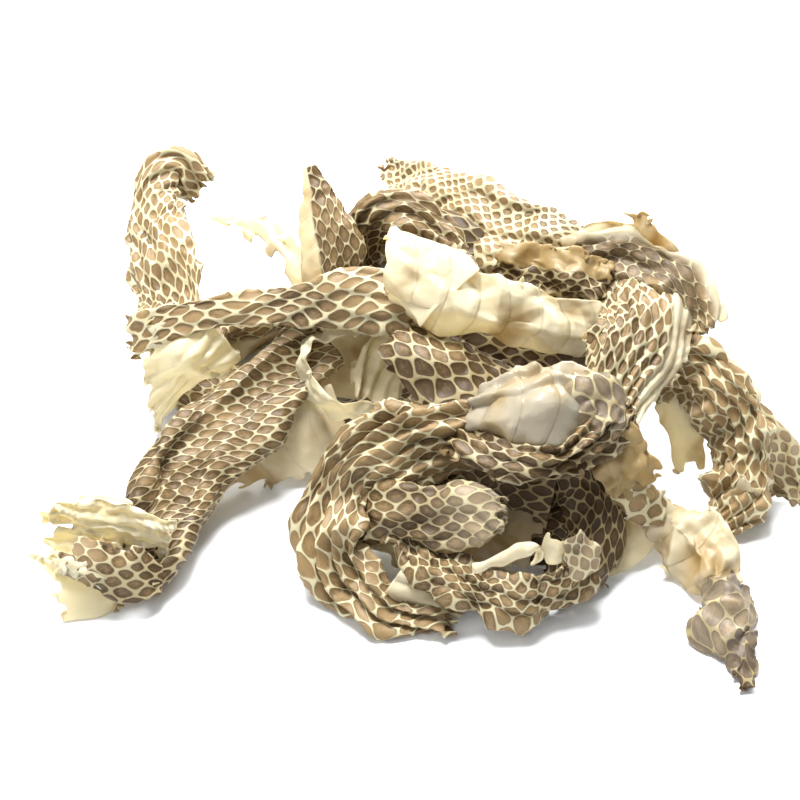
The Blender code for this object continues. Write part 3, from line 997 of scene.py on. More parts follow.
@dataclass(frozen=True)
class DryKeratinFilm:
    """Shed epidermis: dried keratin film, grown and not made.

    The scale plates are thin and clear tan, so they look brown where skin lies
    behind them.  The folded skin between them is thicker and cream, and the
    belly scutes are smooth, ivory and glossy.  How dark the plates, net and
    belly are drawn also carries painted shade, and the net's crest painted highlight.

    Args:
        name: the material's name.
        scale_dark: a dark plate, for plates that differ at random, over folded skin and in painted shade.
        scale_pale: a pale plate, for plates that differ at random and painted light from behind.
        net: the skin between the plates, on its crest, drawn palest there as painted highlight.
        net_shade_and_tint: the same skin in painted shade, on its flanks and in dark folds, and its tanner
            tint in pearly film.
        scute: a clean belly scute.
        scute_amber: a stained one, also painted shade on shaded belly, and the line at each scute's edge.
        pearl: film with a pearly bloom.
        through: what light takes on as it passes through.
        roughness: between that of the back and of the belly.
        ior: keratin's.
        gloss: the specular level.
        back_through: share of light that passes through the back.
        belly_through: share that passes through the belly.
        crinkles: sizes per metre and heights of the facets in the belly's smooth film.
        variety: how far the plates differ from each other in tone.
        grain: how far the tone varies within a plate.
        fold_painted_shade: how far the plates' tone drops with the run's shade, painted shade in a dark fold.
        tone: the plates' tone before all that.
        net_edge: the distances from a scale's middle between which the net starts.
        net_crest: those between which its pale ridge rises.
        scute_line: the places along a scute between which its amber line ends.
        stain_and_shade: the cloudiness, with the run's painted shade added, between which a scute turns
            amber.
        relief: how high the fine relief stands, metres.
    """

    name: str = "Dried keratin slough"
    scale_dark: str = "#533E22"
    scale_pale: str = "#A3885E"
    net: str = "#DDD4AF"
    net_shade_and_tint: str = "#9C8A60"
    scute: str = "#EFEAD0"
    scute_amber: str = "#BEA673"
    pearl: str = "#B8AF9F"
    through: str = "#FFF6DF"
    roughness: float = 0.42
    ior: float = 1.54
    gloss: float = 0.38
    back_through: float = 0.30
    belly_through: float = 0.50
    crinkles: tuple[tuple[float, float], ...] = ((130.0, 2.2), (360.0, 0.8))
    variety: float = 0.40
    grain: float = 0.9
    fold_painted_shade: float = 0.95
    tone: float = 0.24
    net_edge: tuple[float, float] = (0.84, 0.91)
    net_crest: tuple[float, float] = (0.89, 0.99)
    scute_line: tuple[float, float] = (0.02, 0.09)
    stain_and_shade: tuple[float, float] = (0.55, 1.05)
    relief: float = 0.0004

    def build(self) -> bpy.types.Material:
        """Build the material.

        Returns:
            The material, which reads the film's own attributes.
        """
        material = bpy.data.materials.new(self.name)
        material.use_nodes = True
        tree = material.node_tree
        tree.nodes.clear()
        place = self._read(tree, "scale_place").outputs["Vector"]
        belly, scute, shade, pearl, stretch = (self._read(tree, name).outputs["Fac"] for name in (
            "belly", "scute_place", "shade", "pearl", "stretch"))
        coords = add_node(tree, "ShaderNodeTexCoord").outputs["Object"]
        back, net = self._back(tree, place, shade, pearl, stretch)
        under, line = self._belly(tree, scute, coords, shade, pearl)
        colour = self._mix(tree, belly, back, under)
        bump = self._bump(tree, choose(tree, belly, line, net), coords, belly)
        # The belly and pearly film are the smoothest.
        rough = ramp(tree, belly, 0.0, 1.0, self.roughness + 0.08, self.roughness - 0.06)
        rough = math_node(tree, "MULTIPLY_ADD", pearl, -0.12, rough)
        film = add_node(tree, "ShaderNodeBsdfPrincipled", {},
                        {"Base Color": colour, "Roughness": rough, "IOR": self.ior, "Normal": bump,
                         "Specular IOR Level": self.gloss})
        # Light that comes through the film is warmer, and makes lit folds glow.
        warmed = add_node(tree, "ShaderNodeMix", {"data_type": "RGBA", "blend_type": "MULTIPLY"},
                          {0: 1.0, 6: colour, 7: linear(self.through)}).outputs[2]
        through = add_node(tree, "ShaderNodeBsdfTranslucent", {}, {"Color": warmed, "Normal": bump})
        share = ramp(tree, belly, 0.0, 1.0, self.back_through, self.belly_through)
        mixed = add_node(tree, "ShaderNodeMixShader", {},
                         {0: share, 1: film.outputs[0], 2: through.outputs[0]})
        add_node(tree, "ShaderNodeOutputMaterial", {}, {"Surface": mixed.outputs[0]})
        return material

    @staticmethod
    def _read(tree: Tree, name: str) -> Node:
        """Read an attribute of the film."""
        return add_node(tree, "ShaderNodeAttribute", {"attribute_name": name})

    @staticmethod
    def _mix(tree: Tree, share: object, one: object, two: object) -> Socket:
        """Mix two colours."""
        return add_node(tree, "ShaderNodeMix", {"data_type": "RGBA"}, {0: share, 6: one, 7: two}).outputs[2]

    def _back(self, tree: Tree, place: Socket, shade: Socket, pearl: Socket,
              stretch: Socket) -> tuple[Socket, Socket]:
        """Colour the back: tan plates that differ from each other, in a cream net.

        Args:
            tree: the material's tree.
            place: the place among the scales.
            shade: how dark the run is drawn, painted shade included.
            pearl: share of pearly film.
            stretch: how much wider the net is pulled.

        Returns:
            The colour and the net, 1 on it and 0 on a plate.
        """
        measured, cell = LATTICE.build(tree, place)
        distance = math_node(tree, "ADD", measured, stretch)
        odds = add_node(tree, "ShaderNodeTexWhiteNoise", {}, {"Vector": cell}).outputs["Value"]
        grain = add_node(tree, "ShaderNodeTexNoise", {}, {"Vector": place, "Scale": 6.0, "Detail": 2.5})
        # Plates differ at random in tone; the run's shade darkens them, painted shade.
        tone = math_node(tree, "MULTIPLY_ADD", odds, self.variety,
                         math_node(tree, "MULTIPLY", shade, -self.fold_painted_shade))
        tone = math_node(tree, "MULTIPLY_ADD", grain.outputs["Fac"], self.grain, tone)
        tone = math_node(tree, "ADD", tone, self.tone)
        # A plate is drawn palest a little inside its rim and darker towards its middle: painted shade.
        tone = math_node(tree, "ADD", tone, ramp(tree, distance, 0.15, 0.85, 0.10, -0.14))
        plate = self._mix(tree, ramp(tree, tone, 0.0, 1.0), linear(self.scale_dark), linear(self.scale_pale))
        clear = math_node(tree, "MULTIPLY", pearl, 0.86)
        plate = self._mix(tree, clear, plate, linear(self.pearl))
        net = ramp(tree, distance, *self.net_edge)
        # The net is drawn darker with the run's shade, painted shade, and in pearly film, its own tint.
        dim = ramp(tree, shade, 0.0, 1.0, 0.0, 0.85)
        dim = math_node(tree, "MULTIPLY_ADD", pearl, 0.5, dim)
        bright = self._mix(tree, dim, linear(self.net), linear(self.net_shade_and_tint))
        # The net is a thin pale ridge with tanner flanks: painted highlight on its crest, painted shade on
        # its flanks.
        web = self._mix(tree, ramp(tree, distance, *self.net_crest), linear(self.net_shade_and_tint), bright)
        return self._mix(tree, net, plate, web), net

    def _belly(self, tree: Tree, scute: Socket, coords: Socket, shade: Socket,
               pearl: Socket) -> tuple[Socket, Socket]:
        """Colour the belly: ivory scutes with a thin amber line at each edge.

        Args:
            tree: the material's tree.
            scute: the place among the scutes.
            coords: Object coordinates.
            shade: how dark the run is drawn, painted shade included; it turns scutes amber.
            pearl: share of pearly film.

        Returns:
            The colour and the raised line, 1 on it.
        """
        part = math_node(tree, "FRACT", scute)
        line = math_node(tree, "SUBTRACT", 1.0, ramp(tree, part, *self.scute_line))
        cloud = add_node(tree, "ShaderNodeTexNoise", {}, {"Vector": coords, "Scale": 90.0, "Detail": 2.0})
        # Scutes turn amber in random stains, and with the run's shade as painted shade.
        amber = math_node(tree, "ADD", cloud.outputs["Fac"], math_node(tree, "MULTIPLY", shade, 0.55))
        amber = ramp(tree, amber, *self.stain_and_shade)
        base = self._mix(tree, pearl, linear(self.scute), linear(self.pearl))
        ivory = self._mix(tree, amber, base, linear(self.scute_amber))
        edge = math_node(tree, "MULTIPLY", line, 0.18)
        return self._mix(tree, edge, ivory, linear(self.scute_amber)), line

    def _bump(self, tree: Tree, relief: Socket, coords: Socket, belly: Socket) -> Socket:
        """Sharpen the relief and add the film's crinkling.

        Args:
            tree: the material's tree.
            relief: the net or the scutes' lines.
            coords: Object coordinates.
            belly: 1 on the belly, whose smooth film creases in facets.

        Returns:
            The normal.
        """
        fine = add_node(tree, "ShaderNodeTexNoise", {}, {"Vector": coords, "Scale": 650.0, "Detail": 2.0})
        height = math_node(tree, "MULTIPLY_ADD", fine.outputs["Fac"], 0.35, relief)
        for scale, share in self.crinkles:
            facet = add_node(tree, "ShaderNodeTexVoronoi", {}, {"Vector": coords, "Scale": scale})
            part = math_node(tree, "MULTIPLY", facet.outputs["Distance"], belly)
            height = math_node(tree, "MULTIPLY_ADD", part, share, height)
        return add_node(tree, "ShaderNodeBump", {},
                        {"Strength": 0.55, "Distance": self.relief, "Height": height}).outputs[0]


def mesh_piece(name: str, films: list[Film]) -> bpy.types.Object:
    """Make one object of several films.

    Args:
        name: the piece's name.
        films: the films in it.

    Returns:
        The object, at the origin.
    """
    starts = np.cumsum([0] + [len(film.points) for film in films])
    points = np.vstack([film.points for film in films])
    faces = np.vstack([film.faces + start for film, start in zip(films, starts)])
    mesh = bpy.data.meshes.new(name)
    mesh.vertices.add(len(points))
    mesh.vertices.foreach_set("co", points.ravel())
    mesh.loops.add(faces.size)
    mesh.loops.foreach_set("vertex_index", faces.ravel().astype(np.int32))
    mesh.polygons.add(len(faces))
    mesh.polygons.foreach_set("loop_start", np.arange(0, faces.size, 4, dtype=np.int32))
    mesh.update(calc_edges=True)
    mesh.validate()
    spots = mesh.attributes.new("scale_place", "FLOAT_VECTOR", "POINT")
    spots.data.foreach_set("vector", np.vstack([film.scale_place for film in films]).ravel())
    for key in ("scute_place", "belly", "shade", "pearl", "stretch"):
        values = np.concatenate([getattr(film, key) for film in films])
        mesh.attributes.new(key, "FLOAT", "POINT").data.foreach_set("value", values)
    piece = bpy.data.objects.new(name, mesh)
    bpy.context.scene.collection.objects.link(piece)
    return piece


@dataclass(frozen=True)
class Outfit:
    """What every part is dressed with.

    Args:
        finish: the material.
        growths: each tree that works on the film, with its sizes.
    """

    finish: bpy.types.Material
    growths: tuple[tuple[Tree, dict[str, float]], ...]


@dataclass
class SkinPart:
    """A part of the heap: a few runs of skin that lie together.

    Args:
        name: the piece's name.
        runs: its runs, by name.
        grid: spacing of the film's points, mm.
    """

    name: str = "skin"
    runs: dict[str, Run] = field(default_factory=dict)
    grid: float = GRID

    def build(self) -> bpy.types.Object:
        """Make the part's film."""
        return mesh_piece(self.name, [FilmMaker(run, self.grid).build() for run in self.runs.values()])

    @staticmethod
    def dress(piece: bpy.types.Object, outfit: Outfit, seed: int) -> None:
        """Raise the scales, give the film its thickness and join it to the frame.

        Args:
            piece: the part's film.
            outfit: its material and the trees that raise and loosen scales.
            seed: picks the places of the loose scales.
        """
        for tree, sizes in outfit.growths:
            plain_mesh(piece, tree, {**sizes, "Seed": seed, "Finish": outfit.finish})
        wall = piece.modifiers.new("Film", "SOLIDIFY")
        wall.thickness = FILM * MM
        wall.offset = -1.0
        piece.data.shade_smooth()
        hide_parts(NODE)
        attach(piece, BODY)


@dataclass
class LeftPart(SkinPart):
    """The left of the heap: two arms, the crossing tube and its hanging belly."""

    name: str = "left_arms"
    grid: float = 0.56
    runs: dict[str, Run] = field(default_factory=lambda: {
        "upper_left_arm": Run(0, stations(
            (-67, 17, 26, 0, 34, 50), (-66, 30, 28, -5, 42, 50), (-69, 43, 31, -10, 42, 50),
            (-72, 55, 36, -10, 40, 50), (-71, 65, 40, 0, 36, 50), (-66, 71, 40, 10, 30, 50),
            (-61, 70, 35, 20, 24, 50)), TUBE, 0.9, (0.0, 2.5), scale=(5.0, 1.5), shade=0.0,
            ragged=(0, 3, 1, 1), scutes=(0.13, 0.13), net=0.1, crinkle=2.2, pleat=1.6, pleats=4.0, facet=7.0),
        "cross_tube": Run(1, stations(
            (-75, 14, 27, -20, 24, 30), (-68, 12, 32, -8, 23, 40), (-54, 12, 36, 0, 21, 50),
            (-38, 11, 39, 0, 24, 50), (-21, 10, 41, 0, 33, 50), (-6, 9, 42, 0, 44, 50),
            (8, 14, 37, 0, 46, 50)), TUBE, 0.5, scale=(6.8, 2.35), shade=0.05, crinkle=0.9,
            ragged=(1, 0, 1, 1), dent=0.9, scutes=(0.1, 0.2), net=0.06, pleat=0.5, pleats=6.0),
        "hanging_belly": Run(2, stations(
            (-53, 13, 31.5, 0, 26, 20), (-59.5, 6.5, 28, 0, 26, 30), (-64.5, 5, 17, -10, 15, 30),
            (-67, 4.5, 6, -10, 6, 20)), (Crease(0.4, 30),), 0.9, (0.0, 3.0), side=Side.BELLY, shade=-0.7,
            pleat=1.2, pleats=4.5, ragged=(0, 2, 1.5, 4), crinkle=1.8, plates=False),
        "lower_left_arm": Run(3, stations(
            (-25, 11, 30, 0, 42, 10), (-38, -1, 25, 10, 46, 10), (-50, -12, 19, 15, 48, 10),
            (-60, -24, 14, 10, 48, 10), (-66, -38, 10, 0, 45, 10), (-69, -52, 7, 0, 35, 10)),
            TUBE + (Crease(0.54, -50, 0.05), Crease(0.62, 60, 0.05)), 0.6, (0.0, 2.0), scale=(5.4, 1.65),
            shade=0.25, crinkle=1.8, ragged=(0, 3, 1, 1), scutes=(0.13, 0.13), slant=34, tip=(0.95, 0.0),
            pleat=0.8, pleats=7.0),
        "torn_end": Run(4, stations(
            (-62, -44, 7, 0, 22, 40), (-70, -45, 11, 10, 25, -30), (-79, -44, 12, 10, 25, -40),
            (-87, -41, 9, 0, 21, -20)), (Crease(0.5, -35),), 1.3, (0.0, 4.0), shade=0.0, crinkle=3.0,
            ragged=(0, 10, 4, 5), lip=-60, facet=3.4, plates=False, side=Side.BELLY, pleat=2.0, pleats=2.4),
        "end_belly": Run(5, stations(
            (-67, -51, 4, 0, 10, 40), (-76, -54, 5, 0, 14, 40), (-85, -56, 4, 0, 14, 20)), crumple=0.6,
            torn=(0.0, 1.5), side=Side.BELLY, shade=0.2, ragged=(0, 2, 1, 1), plates=False),
        "end_scales": Run(48, stations(
            (-61, -52, 8, 0, 11, 30), (-68, -54, 10, 0, 14, 40), (-76, -53, 12, 0, 12, 40),
            (-85, -49.5, 12.5, 0, 9, 30)), scale=(4.6, 2.1), shade=0.7, tip=(-0.1, 0.3), crinkle=1.4,
            net=0.04, ragged=(0, 5, 1, 2)),
        "under_belly": Run(6, stations(
            (-20, -4, 15, 0, 22, 40), (-32, -7, 12, 0, 24, 40), (-42, -10, 9, -10, 20, 50),
            (-50, -13, 5, -10, 12, 40)), crumple=1.0, torn=(0.0, 2.5), side=Side.BELLY, shade=0.35,
            crinkle=0.6, ragged=(0, 4, 2, 2)),
    })


@dataclass
class MiddlePart(SkinPart):
    """The middle: the open mouth of a tube, the bright belly band and the pearly fold."""

    name: str = "middle_band"
    runs: dict[str, Run] = field(default_factory=lambda: {
        "mouth_ring": Run(7, stations(
            (-4, 8, 33, 70, 9, 20), (-18, 12, 32, 70, 9, 20), (-28, 9, 29, 68, 10, 20),
            (-29, 0, 24, 62, 10, 25), (-20, -6, 20, 58, 11, 30), (-8, -7, 20, 60, 10, 25),
            (1, -4, 24, 68, 9, 20), (4, 2, 29, 75, 9, 20)), side=Side.BELLY, shade=0.1, crinkle=2.2,
            ragged=(0, 0, 2.5, 2.0), facet=3.8, plates=False, pleat=0.6, pleats=3.0),
        "mouth_fan": Run(8, stations(
            (-14, 0, 17, 0, 12, -40), (-11, 8, 21, 0, 15, -50), (-6, 15, 27, 0, 16, -40)), side=Side.BELLY,
            shade=0.35, pleat=1.8, pleats=3.0, plates=False),
        "mouth_lining": Run(53, stations(
            (-29.9, 20.1, 14, 0, 14, 30), (-20.2, 18.5, 14, 0, 16, 30), (-10.6, 17.6, 16, 0, 16, 30),
            (-2.9, 17.6, 20, 0, 14, 30)), side=Side.BELLY, crinkle=1.0, plates=False, ragged=(0, 0, 0, 0)),
        "centre_belly": Run(9, stations(
            (-9, 9, 48, 10, 27, 30), (1, 3, 49, 10, 22, 50), (14, -2, 47, 5, 20, 60),
            (28, -3, 44, 0, 19, 60), (42, 1, 37, 0, 18, 60)), (Crease(0.55, 30),), side=Side.BELLY,
            shade=0.0, crinkle=3.4, ragged=(0, 0, 0.5, 0.5), facet=9.0, patch=0.7),
        "side_scales": Run(10, stations(
            (-5, 2, 40, -35, 18, 60), (4, -8, 37, -30, 24, 70), (15, -15, 33, -30, 25, 80),
            (26, -20, 28, -30, 22, 80)), crumple=0.6, scale=(6.4, 2.9), shade=0.7, ragged=(1, 0, 1, 1),
            net=0.02),
        # Drawn nearly at full shade: painted shade behind the belly band.
        "under_band": Run(41, stations(
            (-6, 7, 30, 0, 18, 30), (8, 3, 33, 0, 22, 30), (22, 1, 33, 0, 22, 30), (36, -2, 32, 0, 18, 30)),
            shade=0.95, scale=(5.6, 2.6), ragged=(0, 0, 0, 0)),
        "band_corner": Run(42, stations(
            (6, 1, 49, 0, 20, 30), (-1, 10, 52, 0, 17, 40), (-6, 18, 54, 0, 9, 40), (-8, 24, 54, 0, 2, 20)),
            side=Side.BELLY, shade=0.0, crinkle=1.0, facet=7.0, ragged=(0, 0, 0, 0), plates=False),
        "pearl_fold": Run(11, stations(
            (10, -24, 36, -25, 22, 60), (19, -30, 43, -5, 26, 50), (31, -31, 43, 0, 27, 50),
            (43, -24, 37, 20, 22, 60)), (Crease(0.45, 30),), side=Side.BELLY, shade=0.4, crinkle=2.6,
            pearl=0.7, ragged=(0, 0, 1, 0), facet=9.0, pleat=1.2, pleats=8.0, dent=0.6),
        "pearl_cells": Run(52, stations(
            (32, -25, 43.5, 15, 17, 60), (37, -30, 42, 20, 20, 60), (40, -35, 37.5, 20, 15, 60)),
            (Crease(0.5, 40),), scale=(6.2, 3.0), shade=0.6, pearl=0.3, crinkle=2.8, facet=5.0,
            ragged=(1, 1, 1, 1)),
        "pearl_rim": Run(12, stations(
            (6, -28, 33, -30, 14, 90), (17, -38, 35, -20, 14, 110), (28, -40, 35, -10, 14, 110),
            (40, -36, 35, 10, 14, 110), (48, -24, 36, 20, 14, 90)), scale=(6.0, 1.7), shade=0.6, pleat=1.6,
            pleats=3.0, net=0.02),
    })


@dataclass
class BackTopPart(SkinPart):
    """The top and the back: the curl, the sloping sheet, the shoulder and the points."""

    name: str = "back_and_top"
    runs: dict[str, Run] = field(default_factory=lambda: {
        "top_curl": Run(13, stations(
            (-9, 27, 29, 30, 26, 40), (-16, 34, 37, 40, 30, 40), (-11, 37, 45, 20, 32, 40),
            (1, 33, 47, -20, 32, 40), (10, 26, 44, -50, 30, 40), (13, 18, 37, -60, 28, 40)), TUBE, 1.0,
            scale=(5.0, 1.6), pleat=1.9, pleats=3.8, scutes=(0.13, 0.13), crinkle=1.8),
        "top_sheet": Run(14, stations(
            (-11, 80, 36, 0, 14, 20), (0, 59, 42, 0, 38, 20), (16, 39, 45, 0, 48, 30),
            (30, 25, 45, 0, 52, 40), (45, 14, 42, 0, 48, 40)), TUBE, 0.9, (2.0, 0.0), scale=(3.7, 1.55),
            shade=-0.1, ragged=(5, 0, 1, 1), scutes=(0.13, 0.13), net=0.22, crinkle=2.0, pleat=0.8,
            pleats=7.0, tip=(0.5, 0.0)),
        "sheet_fold": Run(49, stations(
            (17, 20, 46, 0, 12, 40), (27, 17, 47, 0, 15, 50), (38, 14, 47, 0, 14, 50),
            (46, 12, 46, 0, 10, 40)), plates=False, shade=1.0, crinkle=2.2, facet=3.6, pleats=3.5,
            ragged=(1, 1, 3, 2), patch=0.5, scale=(4.0, 1.6), scutes=(0.5, 0.1)),
        "shoulder": Run(15, stations(
            (32, 18, 38, 0, 38, 50), (47, 16, 46, 0, 42, 50), (59, 10, 45, 10, 42, 50),
            (67, 2, 36, 30, 34, 50)), TUBE, 1.4, scale=(4.6, 1.8), shade=0.35, crinkle=4.0,
            ragged=(0, 2, 1, 1), facet=5.5, scutes=(0.3, 0.3), pleat=1.4, pleats=4.6, pearl=0.1,
            plates=False, net=-0.04, patch=0.5),
        "shoulder_tatter": Run(43, stations(
            (36, 25, 45, 10, 12, 30), (46, 24, 51, 20, 15, 30), (57, 19, 50, 30, 15, 30),
            (66, 9, 42, 40, 10, 30)), side=Side.BELLY, crinkle=2.4, facet=3.8, ragged=(2, 3, 6, 2),
            plates=False, pearl=0.3),
        # A sheet at full shade: painted shade inside the curl.
        "curl_inside": Run(40, stations(
            (-18, 48, 28, 0, 20, 30), (-9, 42, 34, 0, 26, 30), (2, 36, 36, 0, 26, 30),
            (12, 30, 36, 0, 20, 30)), shade=1.0, scale=(5.4, 2.0), ragged=(0, 0, 0, 0)),
        "back_spike": Run(29, stations(
            (-20, 14, 28, 0, 24, 90), (-24, 28, 45, 0, 20, 100), (-27, 37, 53, 0, 12, 90),
            (-29, 44, 59, 0, 4, 40)), scale=(5.0, 1.9), ragged=(0, 0, 0.5, 0.5), scutes=(0.35, 0.0)),
        "back_scutes": Run(30, stations(
            (-24, 15, 27, 0, 12, 50), (-34, 32, 37, 0, 13, 60), (-42, 43, 39, 0, 10, 40),
            (-54, 54, 36, 0, 5, 50)), crumple=0.8, torn=(0.0, 2.5), side=Side.BELLY, shade=0.0, crinkle=2.6,
            ragged=(0, 10, 8, 8), plates=False, pleat=1.0),
    })


@dataclass
class RightPart(SkinPart):
    """The right: the fan below the shoulder, the arch and its torn tips."""

    name: str = "right_arms"
    runs: dict[str, Run] = field(default_factory=lambda: {
        "fan": Run(16, stations(
            (50, 15, 45, 0, 36, 90), (51, -2, 45, 0, 34, 90), (47, -15, 40, 0, 26, 100),
            (42, -27, 33, 0, 15, 100), (38, -33, 26, 0, 10, 80)), (Crease(0.7, 40),), scale=(5.0, 1.9),
            shade=0.3, pleat=1.2, pleats=3.0, net=0.08, crinkle=1.4, scutes=(0.22, 0.0), plates=False),
        "right_arch": Run(17, stations(
            (44, 2, 27, 0, 32, 30), (57, -3, 32, 10, 36, 40), (67, -7, 30, 20, 38, 40),
            (74, -12, 23, 30, 38, 40), (77, -20, 14, 20, 34, 40), (75, -27, 6, 10, 26, 30),
            (73, -32, 2, 0, 14, 20)), TUBE, 1.2, (0.0, 4.0), scale=(4.6, 1.6), shade=-0.4, pleat=2.2,
            pleats=3.8, ragged=(0, 6, 1, 1), scutes=(0.13, 0.13), crinkle=3.0, facet=5.0, patch=0.5,
            net=0.04),
        "side_tail": Run(18, stations(
            (75, -12, 22, 30, 16, 60), (85, -14, 13, 30, 15, 60), (91, -16, 5, 20, 12, 60),
            (95, -19, 1, 10, 8, 20)), torn=(0.0, 2.0), scale=(5.0, 1.9), shade=0.0, crinkle=0.6,
            ragged=(0, 3, 1, 1), pleat=1.0, net=0.14, pearl=0.25),
        "arch_belly": Run(19, stations(
            (62, -5, 26, 0, 13, 30), (65, -9, 17, 0, 12, 40), (66, -13, 7, 0, 7, 30)), crumple=0.6,
            torn=(0.0, 1.5), side=Side.BELLY, shade=0.35, ragged=(0, 3, 1, 1), plates=False),
        "tip_curl": Run(56, stations(
            (74.5, -27.7, 5, 20, 6, 120), (77.3, -27.0, 9, 20, 10, 140), (80.0, -26.7, 13, 20, 8, 130)),
            side=Side.BELLY, shade=0.3, crinkle=1.2, facet=4.0, ragged=(0, 1, 1, 1), plates=False, pearl=0.2),
    })


@dataclass
class FrontPart(SkinPart):
    """The front curl, with the bands that lie inside it."""

    name: str = "front_curl"
    runs: dict[str, Run] = field(default_factory=lambda: {
        "front_curl": Run(20, stations(
            (24, -22, 27, -20, 34, 30), (10, -28, 30, -10, 36, 40), (-4, -31, 30, 0, 38, 40),
            (-15, -34, 27, 10, 38, 40), (-22, -39, 20, 20, 38, 40), (-23, -46, 13, 20, 36, 40),
            (-18, -54, 7, 10, 31, 40), (-8, -60, 3, 0, 24, 40), (6, -61, 2, 0, 14, 20)), TUBE, 1.1,
            (0.0, 2.0), scale=(6.2, 1.6), shade=0.2, pleat=2.2, pleats=4.0, ragged=(0, 3, 1, 1), crinkle=2.0),
        "inner_band": Run(21, stations(
            (-19, -37, 15, -10, 24, 30), (-8, -43, 20, 0, 30, 40), (4, -47, 22, 0, 32, 40),
            (13, -49, 25, 0, 29, 40), (18, -50, 25, 0, 20, 40)), TUBE, 0.8, scale=(5.2, 1.95), shade=0.7,
            pleat=1.2, pleats=6.0, ragged=(0, 2, 1, 1), crinkle=1.4, tip=(0.1, 0.45), net=0.02),
        "lower_band": Run(22, stations(
            (-14, -37, 15, 0, 16, 30), (-7, -44, 16, -10, 18, 40), (-1, -51, 14, -20, 20, 50),
            (6, -56, 12, -20, 21, 50), (13, -59, 10, -10, 21, 50), (20, -60, 9, 0, 20, 50),
            (28, -58.5, 9, 10, 20, 50), (34, -56, 11, 20, 19, 50), (38, -52, 15, 30, 17, 50)), TUBE, 1.4,
            (0.0, 3.0), scale=(3.7, 1.35), crinkle=2.8, ragged=(0, 4, 1, 1), facet=6.0, pleat=1.6, net=0.02,
            pleats=3.6),
        "hollow_back": Run(23, stations(
            (-16, -34, 12, 0, 16, 30), (0, -40, 11, 0, 22, 40), (16, -42, 12, 0, 24, 40),
            (28, -43, 12, 0, 17, 30)), (Crease(0.5, 30),), 1.0, side=Side.BELLY, shade=0.45, crinkle=2.0,
            ragged=(0, 5, 0, 4), pearl=0.5, plates=False),
        # A sheet at full shade: painted shade in the hollow behind the inner band.
        "cavity_wall": Run(54, stations(
            (-14, -34, 20, 0, 16, 30), (1, -31, 19, 0, 20, 30), (15, -32, 19, 0, 20, 30),
            (30, -36, 18, 0, 18, 30)), scale=(5.0, 2.1), shade=1.0, ragged=(0, 0, 0, 0)),
        "front_flap": Run(24, stations(
            (-8, -55, 9, 0, 11, 30), (-1, -58, 5, 0, 14, 40), (7, -59, 3, 0, 10, 30)), crumple=0.6,
            torn=(0.0, 2.0), side=Side.BELLY, shade=0.55, ragged=(0, 2, 1, 1), plates=False, pleat=0.8),
        "cream_curl": Run(44, stations(
            (9.7, -58.5, 16.5, 0, 3.2, 150), (16.7, -58, 20, 0, 3.6, 170), (23.5, -56.8, 22, 0, 3.6, 180),
            (26, -56, 20, 40, 3.4, 160), (23.9, -57.2, 16.5, 60, 3.4, 140)), side=Side.BELLY, shade=0.0,
            crinkle=1.2, facet=3.0, dent=0.4, ragged=(1, 1, 0.5, 0.5), plates=False),
        "cream_lip": Run(45, stations(
            (29.8, -54.8, 14, 0, 5, 100), (29.1, -55.0, 19, 0, 6.5, 110), (29.2, -55.3, 24, 0, 6, 110)),
            side=Side.BELLY, shade=0.05, crinkle=0.9, facet=4.5, dent=0.4, ragged=(1, 2, 1, 1), plates=False),
        "lip_scales": Run(51, stations(
            (36.5, -55.8, 13, 10, 7, 50), (35, -55.6, 19, 10, 8, 60), (32.6, -54.8, 24, 10, 6, 60)),
            scale=(3.8, 1.9), shade=0.1, crinkle=1.4, facet=4.0, net=0.08, pearl=0.3,
            ragged=(0, 1, 0.5, 0.5)),
    })


